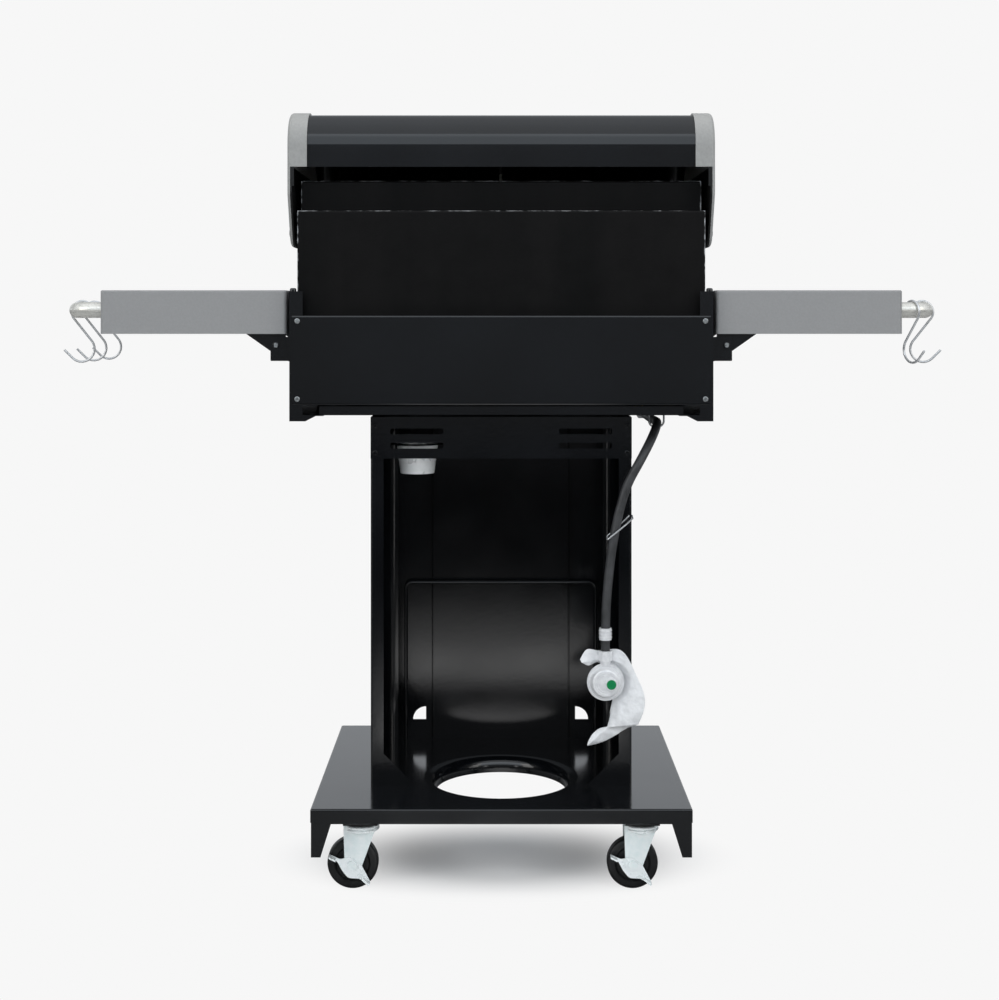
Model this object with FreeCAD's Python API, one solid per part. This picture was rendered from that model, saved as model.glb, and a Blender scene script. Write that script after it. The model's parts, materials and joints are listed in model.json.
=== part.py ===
import FreeCAD, Part
import math
import os

# Gas grill on a tank cabinet. Millimetres, +Z up, the cook stands at -Y, the tank bay opens to +Y.
# The origin lies on the floor under the middle of the whole grill.

V = FreeCAD.Vector

# Stock and clearances
sheet = 1.2
slip = 0.3
run = 0.05
bend = 3.0

# Casters
wheel_r = 38.0
wheel_width = 22.0
caster_height = 104.0
caster_trail = 13.0
caster_x = 209.0
caster_inset = 50.0
caster_plate = (51.0, 64.0, 3.0)
race_r = 21.0
race_height = 4.5
king_pin_r = 5.0
king_pin_head = (4.0, 3.0)
axle_r = 4.0
axle_head = (3.0, 3.0)
axle_nut = (3.0, 4.0)
fork_plate = 2.5
fork_room = 3.0
fork_eye = 7.0
fork_shoulder = (21.0, 26.0, 4.0)
crown_r = 22.0
crown_lip = 5.5
hub_r = 13.0
hub_proud = 2.5
tyre_depth = 11.0
tyre_round = 5.0
web_recess = 3.0
brake_outline = [
    (34.0, 16.0), (18.0, 9.0, 8.0), (3.0, 12.0, 6.0), (-14.0, 0.0, 10.0), (-27.0, -24.5), (-25.0, -27.0),
    (-10.0, -20.0, 8.0), (6.0, -19.0, 10.0), (15.0, -8.0, 8.0), (22.0, 5.0, 8.0), (34.0, 13.5),
]
brake_pedals = [
    [(34.0, 16.0), (34.0, 13.5), (24.0, 8.5), (24.0, 11.0)],
    [(-27.0, -24.5), (-25.0, -27.0), (-15.0, -18.5), (-17.0, -16.0)],
]
pedal_width = 13.0

# Base shelf and underframe
base_width = 562.0
base_depth = 480.0
base_rear = 280.0
base_apron = 20.0
hole_setback = 171.0
hole_r = 103.0
hole_roll = 18.0
hole_neck = 6.0
leg_drop = 51.0
leg_top = 30.0
leg_foot = 14.0
channel_width = 72.0
channel_drop = 7.0

# Tank cabinet
cabinet_width = 403.0
cabinet_inset = 121.0
cabinet_depth = 276.0
cabinet_height = 568.0
rear_flange = 20.0
column_width = 86.5
column_round = 26.0
column_return = 10.0
panel_lap = 12.0
gusset = 48.0
vent_rail_height = 64.0
vent_slot = (82.0, 9.0)
vent_slot_x = 130.0
vent_rows = (42.0, 20.0)
vent_lip = 12.0
notch_r = 22.0
notch_in = 13.0
notch_rise = 32.0
stop_wire_r = 2.5
stop_wire_width = 324.0
stop_wire_height = 269.0
stop_wire_gap = 12.0

# Body between the side shelves
body_width = 636.0
body_rear_inset = 50.0
body_depth = 420.0
body_bottom_gap = 2.0
body_height = 195.0
body_flange = 20.0
crossbar = (40.0, 6.0)
crossbar_inset = (64.0, 37.0)
runner_lap = 7.0
foot_reach = 24.0
foot_chamfer = 18.0
cover_gap = 4.0
cover_low = 24.0
cover_height = 135.0
cover_return = 10.0

# Grease tray and cup
tray_side_gap = 44.0
tray_depth = 392.0
tray_height = 12.7
tray_recess = 8.0
drain_x = 132.5
drain_r = 8.0
drain_clear = 6.0
cup_top_r = 33.0
cup_foot_r = 27.0
cup_height = 50.0
cup_wall = 1.5
cup_lip = 4.0
cup_drop = 42.0
hanger_strap = (3.0, 16.0)

# Firebox and what cooks in it
firebox_side_gap = 10.0
floor_rise = 48.0
floor_fall = 13.0
floor_slot = (200.0, 60.0)
firebox_height = 232.7
rim_flange = 26.0
side_flange = 14.0
ear_height = 35.3
ear_front = 35.0
ear_slope = 20.0
ear_round = 8.0
heat_plate_inset = 68.0
upper_plate_setback = 49.0
upper_plate_height = 48.0
upper_plate_foot = 22.0
upper_plate_hem = 8.0
hinge_setback = 82.0
hinge_rise = 7.3
hinge_pin_r = 4.0
hinge_nut = (3.0, 4.0)
hinge_head = (4.0, 4.0)
ledge = 14.0
grate_drop = 27.7
grate_thick = 12.0
grate_count = 2
grate_slots = 11
grate_bar = 10.0
grate_frame = 12.0
grate_round = 4.0
tamer_drop = 82.7
tamer_rise = 28.0
tamer_width = 84.0
burner_count = 4
burner_pitch = 140.0
burner_r = 12.5
burner_wall = 1.5
burner_lead = 6.0
burner_pin = (4.0, 20.0)
rack_rise = 74.3
rack_front = 130.0
rack_depth = 140.0
rack_r = 2.0
rack_rail_r = 3.0
rack_leg_r = 2.5
rack_bars = 8
rack_feet = (8.0, 66.0)

# Control panel, valves and knobs
panel_reach = 58.0
panel_low_gap = 15.0
panel_top_gap = 4.0
panel_nose = (20.0, 26.0)
panel_hem = 16.0
knob_rise = 128.0
knob_r = 24.0
knob_length = 26.0
knob_skirt = 8.0
knob_edge = 3.0
knob_grip = 13.0
stem_r = 4.0
stem_reach = 14.0
stem_gap = 5.0
valve_gap = 4.0
valve_r = 10.0
valve_foot = 14.0
valve_length = 34.0
manifold_r = 8.0
manifold_drop = 25.0
manifold_gap = 16.0
manifold_bend = 22.0
manifold_tail = 30.0
manifold_stay = (20.0, 8.0)
inlet_nut = (20.0, 20.0)

# Lid
lid_rear_setback = 17.0
lid_rear_rise = 104.3
lid_rear_round = 50.0
lid_height = 190.5
lid_crown_fall = 10.0
lid_crown_round = 140.0
lid_slope_depth = 154.0
lid_nose_rise = 62.3
lid_nose_round = 60.0
lid_overhang = 24.0
cap_wall = 7.5
cap_rim = 3.0
cap_rim_width = 30.0
cap_gap = 0.15
cap_round = 6.0
cap_lobe = 24.0
cap_lobe_front = (38.0, 24.0)
cap_lobe_rear = (30.0, 55.0)
cap_lip = (3.0, 29.0)
handle_r = 12.5
handle_length = 480.0
handle_reach = 66.0
handle_rise = 18.3
handle_post_x = 190.0
handle_post_r = 7.0
handle_foot = (13.0, 3.0)
handle_flare = 3.0
handle_edge = 4.0
thermometer_r = 27.0
thermometer_rise = 9.0
bezel = (3.0, 1.5)
probe = (3.0, 40.0)

# Side shelves, towel bars and hooks
shelf_gap = 6.0
shelf_length = 282.0
shelf_depth = 405.0
shelf_rear_inset = 15.0
shelf_rise = 2.0
shelf_skirt = 66.0
shelf_corner = 8.0
shelf_bend = 5.0
shelf_edge = 2.5
pivot_out = 22.6
pivot_drop = 17.0
pivot_bolt_r = 3.0
bracket = (31.0, 36.5, 3.0)
bracket_inset = 6.0
bracket_gap = 4.5
bracket_flange = 16.0
bracket_round = 1.5
pivot_head = (2.0, 3.0)
pivot_nut = 3.0
ear_length = 70.0
ear_eye = 9.0
ear_end = 7.0
bar_r = 12.0
bar_wall = 1.5
bar_out = 45.0
bar_bend = 26.0
bar_drop = 30.0
bar_inset = 22.0
hook_wire_r = 1.8
hook_room = 3.0
hook_bowl_r = 20.0
hook_drop = 60.0
hook_shift = 2.0
hook_tip = 18.0
hook_start = 200.0
hook_end = 315.0
hooks_right = (140.0, 65.0, -35.0)
hook_left = 155.0
hook_leg = (19.0, 115.0)

# Gas hose, its fittings and the regulator
hose_r = 7.0
hose_points = [
    (-245, -140, 688), (-245, -62, 688), (-247.5, 14, 686), (-247.3, 66, 687.2), (-247, 108.8, 687.5),
    (-235.1, 148.2, 668), (-214.7, 171, 634.4), (-193.5, 171.3, 597), (-183.5, 171, 563.5),
    (-175.5, 171.3, 529), (-168.5, 171, 487), (-163.5, 171.2, 440), (-160, 171, 390.5), (-160, 171, 341),
]
staple_r = 1.6
staple_y = 86.0
clip_r = 1.2
clip_points = [
    (-197, 159, 547), (-197, 162.4, 547), (-162.8, 162.4, 515), (-162.8, 180.6, 513), (-190, 180.6, 535),
    (-202.8, 163, 543), (-202.8, 150, 546),
]
clip_bend = 2.0
ferrule = (9.5, 18.0, 17.0)
swivel_nut = (18.0, 15.0)
neck_r = 8.0
regulator_r = 28.5
regulator_drop = 47.0
regulator_set = 10.0
regulator_depth = 27.0
regulator_rim = (2.0, 4.0)
regulator_base = 12.0
regulator_dome = 8.0
tank_nut_r = 15.0
tank_nut_length = 18.0
tank_nose_r = 9.0
tank_nose_length = 18.0
vent_cap_r = 7.3
vent_cap_depth = 5.0
vent_cap_spot = (-8.0, -1.0)
vent_collar = (2.8, 3.0)
tag_thick = 0.6
tag_curl = [(42.0, 8.0), (14.0, 0.0, 30.0), (-32.0, 0.0, 25.0), (-66.0, 28.0)]
tag_outline = [
    (36.4, 34.7, 8.0), (28.7, 45.4, 4.0), (-25.2, 43.9, 8.0), (-49.8, 13.1, 30.0), (-62.1, -36.1, 25.0),
    (-56.0, -71.5, 6.0), (-34.4, -74.6, 8.0), (-14.4, -90.0, 20.0), (27.2, -103.8), (13.3, -80.7, 12.0),
    (-10.0, -60.7, 15.0), (-18.0, -20.0, 20.0), (-18.0, 19.3, 3.0), (26.0, 20.8, 5.0),
]
tag_height = (110.0, 50.0)
tag_bow = 40.0

# Screws: head radius, head height, shank radius, length
small_screw = (4.0, 2.2, 2.0, 8.0)
panel_bolt = (5.0, 5.0, 2.5, 10.0)
rail_screw_inset = (7.0, 9.0, 13.0)
cover_screw_inset = (12.0, 9.5, 8.5)
flange_bolt_inset = (5.0, 6.0)


def unit(v):
    return v * (1.0 / v.Length)


def path_edges(points, closed=False):
    """Lines through points (vector, radius), with a tangent arc of that radius at each corner."""
    count = len(points)
    cuts = []
    for i, (p, radius) in enumerate(points):
        if radius == 0 or (not closed and i in (0, count - 1)):
            cuts.append((p, None, p))
            continue
        back = unit(points[i - 1][0] - p)
        ahead = unit(points[(i + 1) % count][0] - p)
        half = back.getAngle(ahead) / 2
        reach = radius / math.tan(half)
        middle = unit(back + ahead)
        centre = p + middle * (radius / math.sin(half))
        cuts.append((p + back * reach, centre - middle * radius, p + ahead * reach))
    edges = []
    for i, (start, middle, end) in enumerate(cuts):
        if middle is not None:
            edges.append(Part.Arc(start, middle, end).toShape())
        if i + 1 < count or closed:
            following = cuts[(i + 1) % count][0]
            if end.distanceToPoint(following) > 1e-6:
                edges.append(Part.LineSegment(end, following).toShape())
    return edges


def in_plane(points, axis, at):
    """Plane points (a, b) or (a, b, radius) as space points on the plane where the axis is at."""
    spots = []
    for p in points:
        a, b = p[0], p[1]
        place = {"x": (at, a, b), "y": (a, at, b), "z": (a, b, at)}[axis]
        spots.append((V(*place), p[2] if len(p) > 2 else 0))
    return spots


def plate(points, axis, low, high):
    """A closed outline pushed along an axis from low to high."""
    face = Part.Face(Part.Wire(path_edges(in_plane(points, axis, low), closed=True)))
    along = {"x": V(1, 0, 0), "y": V(0, 1, 0), "z": V(0, 0, 1)}[axis]
    return face.extrude(along * (high - low))


def shifted(points, distance):
    """An open outline moved to its left by a distance, its corner arcs kept concentric."""
    moved = []
    flat = [V(p[0], p[1], 0) for p in points]
    for i, p in enumerate(points):
        before = unit(flat[i] - flat[i - 1]) if i > 0 else unit(flat[1] - flat[0])
        after = unit(flat[i + 1] - flat[i]) if i + 1 < len(flat) else before
        n1 = V(-before.y, before.x, 0)
        n2 = V(-after.y, after.x, 0)
        spot = flat[i] + (n1 + n2) * (distance / (1 + n1.dot(n2)))
        radius = p[2] if len(p) > 2 else 0
        if radius:
            left_turn = before.cross(after).z > 0
            radius = radius - distance if left_turn else radius + distance
        moved.append((spot.x, spot.y, radius))
    return moved


def placed(points, a, b):
    """An outline moved so that its own zero lies at (a, b)."""
    return [(p[0] + a, p[1] + b) + tuple(p[2:]) for p in points]


def bent(points, thickness=sheet):
    """The closed outline of a bent sheet whose left side is the thickness away from the given line."""
    return list(points) + list(reversed(shifted(points, thickness)))


def box(x0, x1, y0, y1, z0, z1):
    return Part.makeBox(x1 - x0, y1 - y0, z1 - z0, V(x0, y0, z0))


def rounded(a0, a1, b0, b1, radius):
    """The outline of a rectangle with round corners."""
    return [(a0, b0, radius), (a1, b0, radius), (a1, b1, radius), (a0, b1, radius)]


def rod(centre, direction, radius, length):
    return Part.makeCylinder(radius, length, V(*centre), V(*direction))


def turned(points, position, direction):
    """A closed (radius, height) outline turned about its height axis, which is laid along a direction."""
    spots = in_plane(points, "y", 0)
    face = Part.Face(Part.Wire(path_edges(spots, closed=True)))
    solid = face.revolve(V(0, 0, 0), V(0, 0, 1), 360)
    solid.Placement = FreeCAD.Placement(V(*position), FreeCAD.Rotation(V(0, 0, 1), V(*direction)))
    return solid


def tube(edges, radius):
    """Round bar along an unbroken line of edges."""
    wire = Part.Wire(edges)
    start = wire.Edges[0]
    first = start.FirstParameter
    profile = Part.Wire(Part.makeCircle(radius, start.valueAt(first), start.tangentAt(first)))
    return wire.makePipeShell([profile], True, False).Solids[0]


def fused(shapes):
    shapes = list(shapes)
    return shapes[0].multiFuse(shapes[1:]).removeSplitter()


def across(shape):
    """The same piece on the other side of the grill."""
    return shape.mirror(V(0, 0, 0), V(1, 0, 0))


def group(shapes):
    return Part.Compound(list(shapes))


def eased(shape, radius, chosen):
    """The shape with the edges that a test of their two end points picks rounded off."""
    edges = [edge for edge in shape.Edges if all(chosen(vertex.Point) for vertex in edge.Vertexes)]
    return shape.makeFillet(radius, edges)


parts = {}

# Places worked out from the driving dimensions
base_low = caster_height + channel_drop
base_top = base_low + base_apron
base_front = base_rear - base_depth
base_half = base_width / 2
hole_y = base_rear - hole_setback
cabinet_x = cabinet_width / 2
cabinet_rear = base_rear - cabinet_inset
cabinet_front = cabinet_rear - cabinet_depth
cabinet_top = base_top + cabinet_height
column_x = cabinet_x - column_width
body_x = body_width / 2
body_low = cabinet_top - body_bottom_gap
body_top = body_low + body_height
body_rear = base_rear - body_rear_inset
body_front = body_rear - body_depth
body_back = body_rear - sheet
crossbar_low = cabinet_top
crossbar_top = crossbar_low + crossbar[1]
crossbar_y = (cabinet_rear - crossbar_inset[0], cabinet_front + crossbar_inset[1])
runner_top = crossbar_top + sheet
tray_x = body_x - tray_side_gap
tray_low = runner_top + slip
tray_rear = body_rear - tray_recess
cup_y = crossbar_y[0]
cup_top = crossbar_low - cup_drop
firebox_x = body_x - firebox_side_gap
wall_x = firebox_x - sheet
floor_z = body_low + floor_rise
floor_edge = floor_z + floor_fall
rim_z = floor_z + firebox_height
heat_plate_y = base_rear - heat_plate_inset
firebox_rear = heat_plate_y - sheet
ear_top = rim_z + ear_height
upper_plate_y = heat_plate_y - upper_plate_setback
hinge_y = heat_plate_y - hinge_setback
hinge_z = rim_z + hinge_rise
grate_z = rim_z - grate_drop
tamer_z = rim_z - tamer_drop
burner_x = [(i - (burner_count - 1) / 2) * burner_pitch for i in range(burner_count)]
knob_z = body_low + knob_rise
panel_front = body_front - panel_reach
panel_low = body_low + panel_low_gap
panel_top = body_top - panel_top_gap
knob_y = panel_front - slip
manifold_y = body_front - manifold_gap - manifold_r
manifold_z = knob_z - manifold_drop
lid_low = rim_z + slip
lid_rear = heat_plate_y - lid_rear_setback
lid_front = body_front - lid_overhang
lid_x = body_x + cap_wall
handle_y = lid_front - handle_reach + handle_r
handle_z = lid_low + handle_rise
shelf_x = body_x + shelf_gap
shelf_end = shelf_x + shelf_length
shelf_rear = body_rear - shelf_rear_inset
shelf_front = shelf_rear - shelf_depth
shelf_top = body_top + shelf_rise
shelf_low = shelf_top - shelf_skirt
pivot_x = body_x + pivot_out
pivot_z = shelf_low - pivot_drop
bar_x = shelf_end + bar_out
bar_z = shelf_top - bar_drop
hook_loop_r = bar_r + hook_room


# Base shelf: a pan with the tank hole rolled down through its top
def base_shelf():
    outline = rounded(-base_half, base_half, base_front, base_rear, bend)
    pan = eased(plate(outline, "z", base_low, base_top), bend - slip, lambda p: p.z > base_top - slip)
    inner = base_half - sheet
    hollow = box(-inner, inner, base_front + sheet, base_rear - sheet, base_low, base_top - sheet)
    hollow = eased(hollow, bend - slip - sheet, lambda p: p.z > base_low + slip)
    roll_start = hole_r + hole_roll + sheet
    opening = rod((0, hole_y, base_low), (0, 0, 1), roll_start, base_apron)
    neck_low = base_top - hole_roll - hole_neck
    line = [(roll_start, base_top), (hole_r, base_top, hole_roll), (hole_r, neck_low)]
    roll = turned(bent(line), (0, hole_y, 0), (0, 0, 1))
    return pan.cut(hollow).cut(opening).fuse(roll).removeSplitter()


# Underframe: a tapered folded leg at each corner, and a channel over each pair of casters, cut round the hole
def corner_leg(side, y, inward):
    outer = base_half - sheet
    foot = base_low - leg_drop
    top = base_top - bend
    back = [(outer, foot), (outer, top), (outer - leg_top, top), (outer - leg_top, base_low),
            (outer - leg_foot, foot)]
    flat = [(y, foot), (y, top), (y + inward * leg_top, top), (y + inward * leg_top, base_low),
            (y + inward * leg_foot, foot)]
    y_ends = sorted((y, y + inward * sheet))
    leg = fused([plate(back, "y", *y_ends), plate(flat, "x", outer - sheet, outer)])
    return leg if side > 0 else across(leg)


def channel(y):
    half = channel_width / 2
    line = [(y + half, base_top - sheet), (y + half, caster_height, bend), (y - half, caster_height, bend),
            (y - half, base_top - sheet)]
    reach = base_half - sheet - bend
    room = hole_r + hole_roll + sheet + slip
    return plate(bent(line, -sheet), "x", -reach, reach).cut(rod((0, hole_y, 0), (0, 0, 1), room, base_top))


caster_y = (base_rear - caster_inset, base_front + caster_inset)
parts["base_shelf"] = base_shelf()
legs = []
for side in (1, -1):
    legs.append(corner_leg(side, base_rear - sheet, -1))
    legs.append(corner_leg(side, base_front + sheet, 1))
parts["base_underframe"] = group(legs + [channel(y) for y in caster_y])


# Casters: top plate with race and king pin, swivel fork, axle, wheel and brake rocker
race_low = caster_height - caster_plate[2] - race_height
crown_top = race_low - slip
crown_low = crown_top - fork_plate
fork_gap = wheel_width / 2 + fork_room


def caster_top(x, y):
    half_x, half_y, thick = caster_plate[0] / 2, caster_plate[1] / 2, caster_plate[2]
    flange = box(x - half_x, x + half_x, y - half_y, y + half_y, caster_height - thick, caster_height)
    race = rod((x, y, race_low), (0, 0, 1), race_r, caster_height - race_low)
    head_rim, head_height = king_pin_head
    head_low = crown_low - slip - head_height
    pin = rod((x, y, head_low), (0, 0, 1), king_pin_r, caster_height - head_low)
    head = rod((x, y, head_low), (0, 0, 1), king_pin_r + head_rim, head_height)
    return fused([flange, race, pin, head])


def fork(x, y):
    lip_low = crown_top - crown_lip
    cup = [(0, crown_low), (crown_r - fork_plate, crown_low), (crown_r - fork_plate, lip_low),
           (crown_r, lip_low), (crown_r, crown_top, 0.8 * fork_plate), (0, crown_top)]
    reach = fork_gap + fork_plate
    crown = turned(cup, (x, y, 0), (0, 0, 1)).common(
        box(x - crown_r, x + crown_r, y - reach, y + reach, lip_low, crown_top))
    axle_x = x + caster_trail
    half = axle_r + fork_eye
    back, ahead, drop = fork_shoulder
    arm = [(x - back, crown_top), (x - back, crown_low - drop), (axle_x - half, wheel_r - half, 0.9 * half),
           (axle_x + half, wheel_r - half, 0.9 * half), (x + ahead, crown_low - drop), (x + ahead, crown_top)]
    arms = [plate(arm, "y", y + fork_gap, y + fork_gap + fork_plate),
            plate(arm, "y", y - fork_gap - fork_plate, y - fork_gap)]
    frame = fused([crown] + arms).cut(rod((x, y, crown_low), (0, 0, 1), king_pin_r + run, fork_plate))
    bore = rod((axle_x, y - reach, wheel_r), (0, 1, 0), axle_r + run, 2 * reach)
    return frame.cut(bore)


def axle(x, y, tail):
    axle_x = x + caster_trail
    reach = fork_gap + fork_plate
    nut_rim, nut_height = axle_nut
    head_rim, head_height = axle_head
    shank = rod((axle_x, y - reach - nut_height, wheel_r), (0, 1, 0), axle_r, 2 * reach + nut_height + tail)
    nut = rod((axle_x, y - reach - nut_height, wheel_r), (0, 1, 0), axle_r + nut_rim, nut_height)
    head = rod((axle_x, y + reach + tail, wheel_r), (0, 1, 0), axle_r + head_rim, head_height)
    return fused([shank, nut, head])


def wheel(x, y):
    half = wheel_width / 2
    hub = half + hub_proud
    web = half - web_recess
    bore = axle_r + run
    rim_r = wheel_r - tyre_depth
    web_r = rim_r - web_recess
    outline = [(bore, -hub), (hub_r, -hub, 1.0), (hub_r, -web), (web_r, -web), (rim_r, -half),
               (wheel_r, -half, tyre_round), (wheel_r, half, tyre_round), (rim_r, half), (web_r, web),
               (hub_r, web), (hub_r, hub, 1.0), (bore, hub)]
    return turned(outline, (x + caster_trail, y, wheel_r), (0, 1, 0))


def brake(x, y):
    axle_x = x + caster_trail
    low = y + fork_gap + fork_plate + slip
    wing = plate(placed(brake_outline, axle_x, wheel_r), "y", low, low + sheet)
    pedals = [plate(placed(outline, axle_x, wheel_r), "y", low, low + pedal_width) for outline in brake_pedals]
    bore = rod((axle_x, low, wheel_r), (0, 1, 0), axle_r + run, sheet)
    return fused([wing] + pedals).cut(bore)


caster_spots = {
    "rear_right": (caster_x, caster_y[0]),
    "rear_left": (-caster_x, caster_y[0]),
    "front_right": (caster_x, caster_y[1]),
    "front_left": (-caster_x, caster_y[1]),
}
parts["caster_plates"] = group([caster_top(x, y) for x, y in caster_spots.values()])
for corner, (x, y) in caster_spots.items():
    braked = corner.startswith("rear")
    tail = sheet + 2 * slip if braked else 0.0
    parts[corner + "_caster_fork"] = group([fork(x, y), axle(x, y, tail)])
    parts[corner + "_caster_wheel"] = wheel(x, y)
    if braked:
        parts[corner + "_caster_brake"] = brake(x, y)


# Screws, each with its head on a face and its shank going in, and the holes that they pass through
def screw(place, direction, kind):
    head_r, head, shank_r, length = kind
    outline = [(0, -length), (shank_r, -length), (shank_r, 0), (head_r, 0), (head_r, head, head / 2),
               (0, head)]
    return turned(outline, place, direction)


def screw_hole(place, direction, kind):
    shank_r, length = kind[2] + run, kind[3]
    start = V(*place) + V(*direction) * sheet
    return rod(start, V(*direction) * -1, shank_r, length + sheet)


vent_low = cabinet_top - vent_rail_height
rail_rows = (vent_low + rail_screw_inset[1], cabinet_top - rail_screw_inset[2])
rail_screws = [(side * (cabinet_x - rail_screw_inset[0]), cabinet_rear + sheet, z)
               for side in (1, -1) for z in rail_rows]
cover_bottom = body_low + cover_low
cover_top = cover_bottom + cover_height
cover_rows = (cover_bottom + cover_screw_inset[1], cover_top - cover_screw_inset[2])
cover_screws = [(side * (body_x - cover_screw_inset[0]), body_rear, z)
                for side in (1, -1) for z in cover_rows]
flange_bolts = [(side * (body_x - flange_bolt_inset[0]), body_back - flange_bolt_inset[1], body_top)
                for side in (1, -1)]
backward = (0, 1, 0)
upward = (0, 0, 1)


def drilled(shape, places, direction, kind):
    return shape.cut(group([screw_hole(place, direction, kind) for place in places]))


# Tank cabinet: each side is one bent sheet with rear flange, foot gusset and rounded front column
def cabinet_side():
    line = [(cabinet_x - rear_flange, cabinet_rear), (cabinet_x, cabinet_rear, bend),
            (cabinet_x, cabinet_front, column_round), (column_x, cabinet_front, bend),
            (column_x, cabinet_front + column_return)]
    skin = plate(bent(line, -sheet), "z", base_top, cabinet_top)
    corner = cabinet_x - rear_flange + 2 * bend
    reach = gusset + 2 * bend
    triangle = [(corner, base_top), (corner - reach, base_top), (corner, base_top + reach)]
    foot = plate(triangle, "y", cabinet_rear - 2 * sheet, cabinet_rear - sheet)
    sill = base_top + notch_rise
    start = column_x + notch_in
    quarter = [(start, sill), (start + notch_r, sill), (start + notch_r, sill + notch_r, notch_r),
               (start, sill + notch_r)]
    window = plate(quarter, "y", cabinet_front - sheet, cabinet_front + 2 * sheet)
    return drilled(fused([skin, foot]).cut(window), rail_screws, backward, small_screw)


def cabinet_front_panel():
    half = column_x + panel_lap
    return box(-half, half, cabinet_front - sheet, cabinet_front, base_top, cabinet_top)


def vent_rail():
    inner = cabinet_x - rear_flange - slip
    face = box(-cabinet_x, cabinet_x, cabinet_rear, cabinet_rear + sheet, vent_low, cabinet_top)
    lips = [box(-inner, inner, cabinet_rear - vent_lip, cabinet_rear + sheet, z, z + sheet)
            for z in (vent_low, cabinet_top - sheet)]
    slots = []
    for side in (1, -1):
        for rise in vent_rows:
            x, z = side * vent_slot_x, vent_low + rise
            outline = rounded(x - vent_slot[0] / 2, x + vent_slot[0] / 2, z - vent_slot[1] / 2,
                              z + vent_slot[1] / 2, vent_slot[1] / 3)
            slots.append(plate(outline, "y", cabinet_rear - sheet, cabinet_rear + 2 * sheet))
    return drilled(fused([face] + lips).cut(group(slots)), rail_screws, backward, small_screw)


def tank_stop_wire():
    y = cabinet_front + sheet + stop_wire_gap
    half = stop_wire_width / 2
    top = base_top + stop_wire_height
    corner = 4 * stop_wire_r
    path = [(V(-half, y, base_top), 0), (V(-half, y, top), corner), (V(half, y, top), corner),
            (V(half, y, base_top), 0)]
    return tube(path_edges(path), stop_wire_r)


parts["cabinet_right_panel"] = cabinet_side()
parts["cabinet_left_panel"] = across(parts["cabinet_right_panel"])
parts["cabinet_front_panel"] = cabinet_front_panel()
parts["rear_vent_rail"] = vent_rail()
parts["tank_stop_wire"] = tank_stop_wire()


# Body: two pan-shaped side panels on crossbars, with runners for the grease tray, and the rear cover
def side_panel():
    web = box(body_x - sheet, body_x, body_front, body_back, body_low, body_top)
    flange = [(body_x, body_low), (body_x, body_top), (body_x - body_flange, body_top),
              (body_x - body_flange, runner_top), (body_x - foot_reach - foot_chamfer, runner_top),
              (body_x - foot_reach, body_low)]
    rear = plate(flange, "y", body_back - sheet, body_back)
    top = box(firebox_x, body_x, body_front, body_back, body_top - sheet, body_top)
    front = box(firebox_x + slip, body_x, body_front, body_front + sheet, runner_top, body_top)
    runner = box(tray_x - runner_lap, body_x, body_front, body_back, crossbar_top, runner_top)
    panel = fused([web, rear, top, front, runner])
    panel = drilled(panel, cover_screws, backward, small_screw)
    return drilled(panel, flange_bolts, upward, panel_bolt)


def crossbar_at(y):
    reach = body_x - sheet
    half = crossbar[0] / 2
    return box(-reach, reach, y - half, y + half, crossbar_low, crossbar_top)


def cup_hanger():
    thick, width = hanger_strap
    ring_top = cup_top - cup_wall
    inner = cup_top_r + cup_lip + 2 * cup_wall
    ring = rod((drain_x, cup_y, ring_top - thick), (0, 0, 1), inner + thick, thick)
    ring = ring.cut(rod((drain_x, cup_y, ring_top - thick), (0, 0, 1), cup_top_r + slip, thick))
    straps = []
    for start in (drain_x - inner - thick, drain_x + inner):
        straps.append(box(start, start + thick, cup_y - width / 2, cup_y + width / 2,
                          ring_top - thick, crossbar_low))
    return [ring] + straps


def rear_crossbar():
    drain = rod((drain_x, cup_y, crossbar_low), (0, 0, 1), drain_r + drain_clear, crossbar[1])
    return fused([crossbar_at(cup_y)] + cup_hanger()).cut(drain)


def rear_cover():
    half = body_x - cover_gap
    inner = body_x - body_flange - slip
    lip = body_back - cover_return
    line = [(lip, cover_bottom), (body_rear, cover_bottom, bend), (body_rear, cover_top, bend), (lip, cover_top)]
    skin = plate(bent(line), "x", -half, half)
    past = box(inner, half, lip, body_back, cover_bottom, cover_top)
    return drilled(skin.cut(group([past, across(past)])), cover_screws, backward, small_screw)


parts["side_panel_right"] = side_panel()
parts["side_panel_left"] = across(parts["side_panel_right"])
parts["body_crossbars"] = group([rear_crossbar(), crossbar_at(crossbar_y[1])])
parts["rear_cover"] = rear_cover()


# Grease tray, which slides out to the rear, and the cup that hangs under its drain
def grease_tray():
    front = tray_rear - tray_depth
    top = tray_low + tray_height
    pan = box(-tray_x, tray_x, front, tray_rear, tray_low, top)
    inner = tray_x - sheet
    pan = pan.cut(box(-inner, inner, front + sheet, tray_rear - sheet, tray_low + sheet, top))
    return pan.cut(rod((drain_x, cup_y, tray_low), (0, 0, 1), drain_r, sheet))


def grease_cup():
    foot_z = cup_top - cup_height
    lip_z = cup_top - cup_wall
    outline = [(0, foot_z), (cup_foot_r, foot_z), (cup_top_r, lip_z), (cup_top_r + cup_lip, lip_z),
               (cup_top_r + cup_lip, cup_top), (cup_top_r - cup_wall, cup_top),
               (cup_foot_r - cup_wall, foot_z + cup_wall), (0, foot_z + cup_wall)]
    return turned(outline, (drain_x, cup_y, 0), (0, 0, 1))


parts["grease_tray"] = grease_tray()
parts["grease_cup"] = grease_cup()


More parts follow.
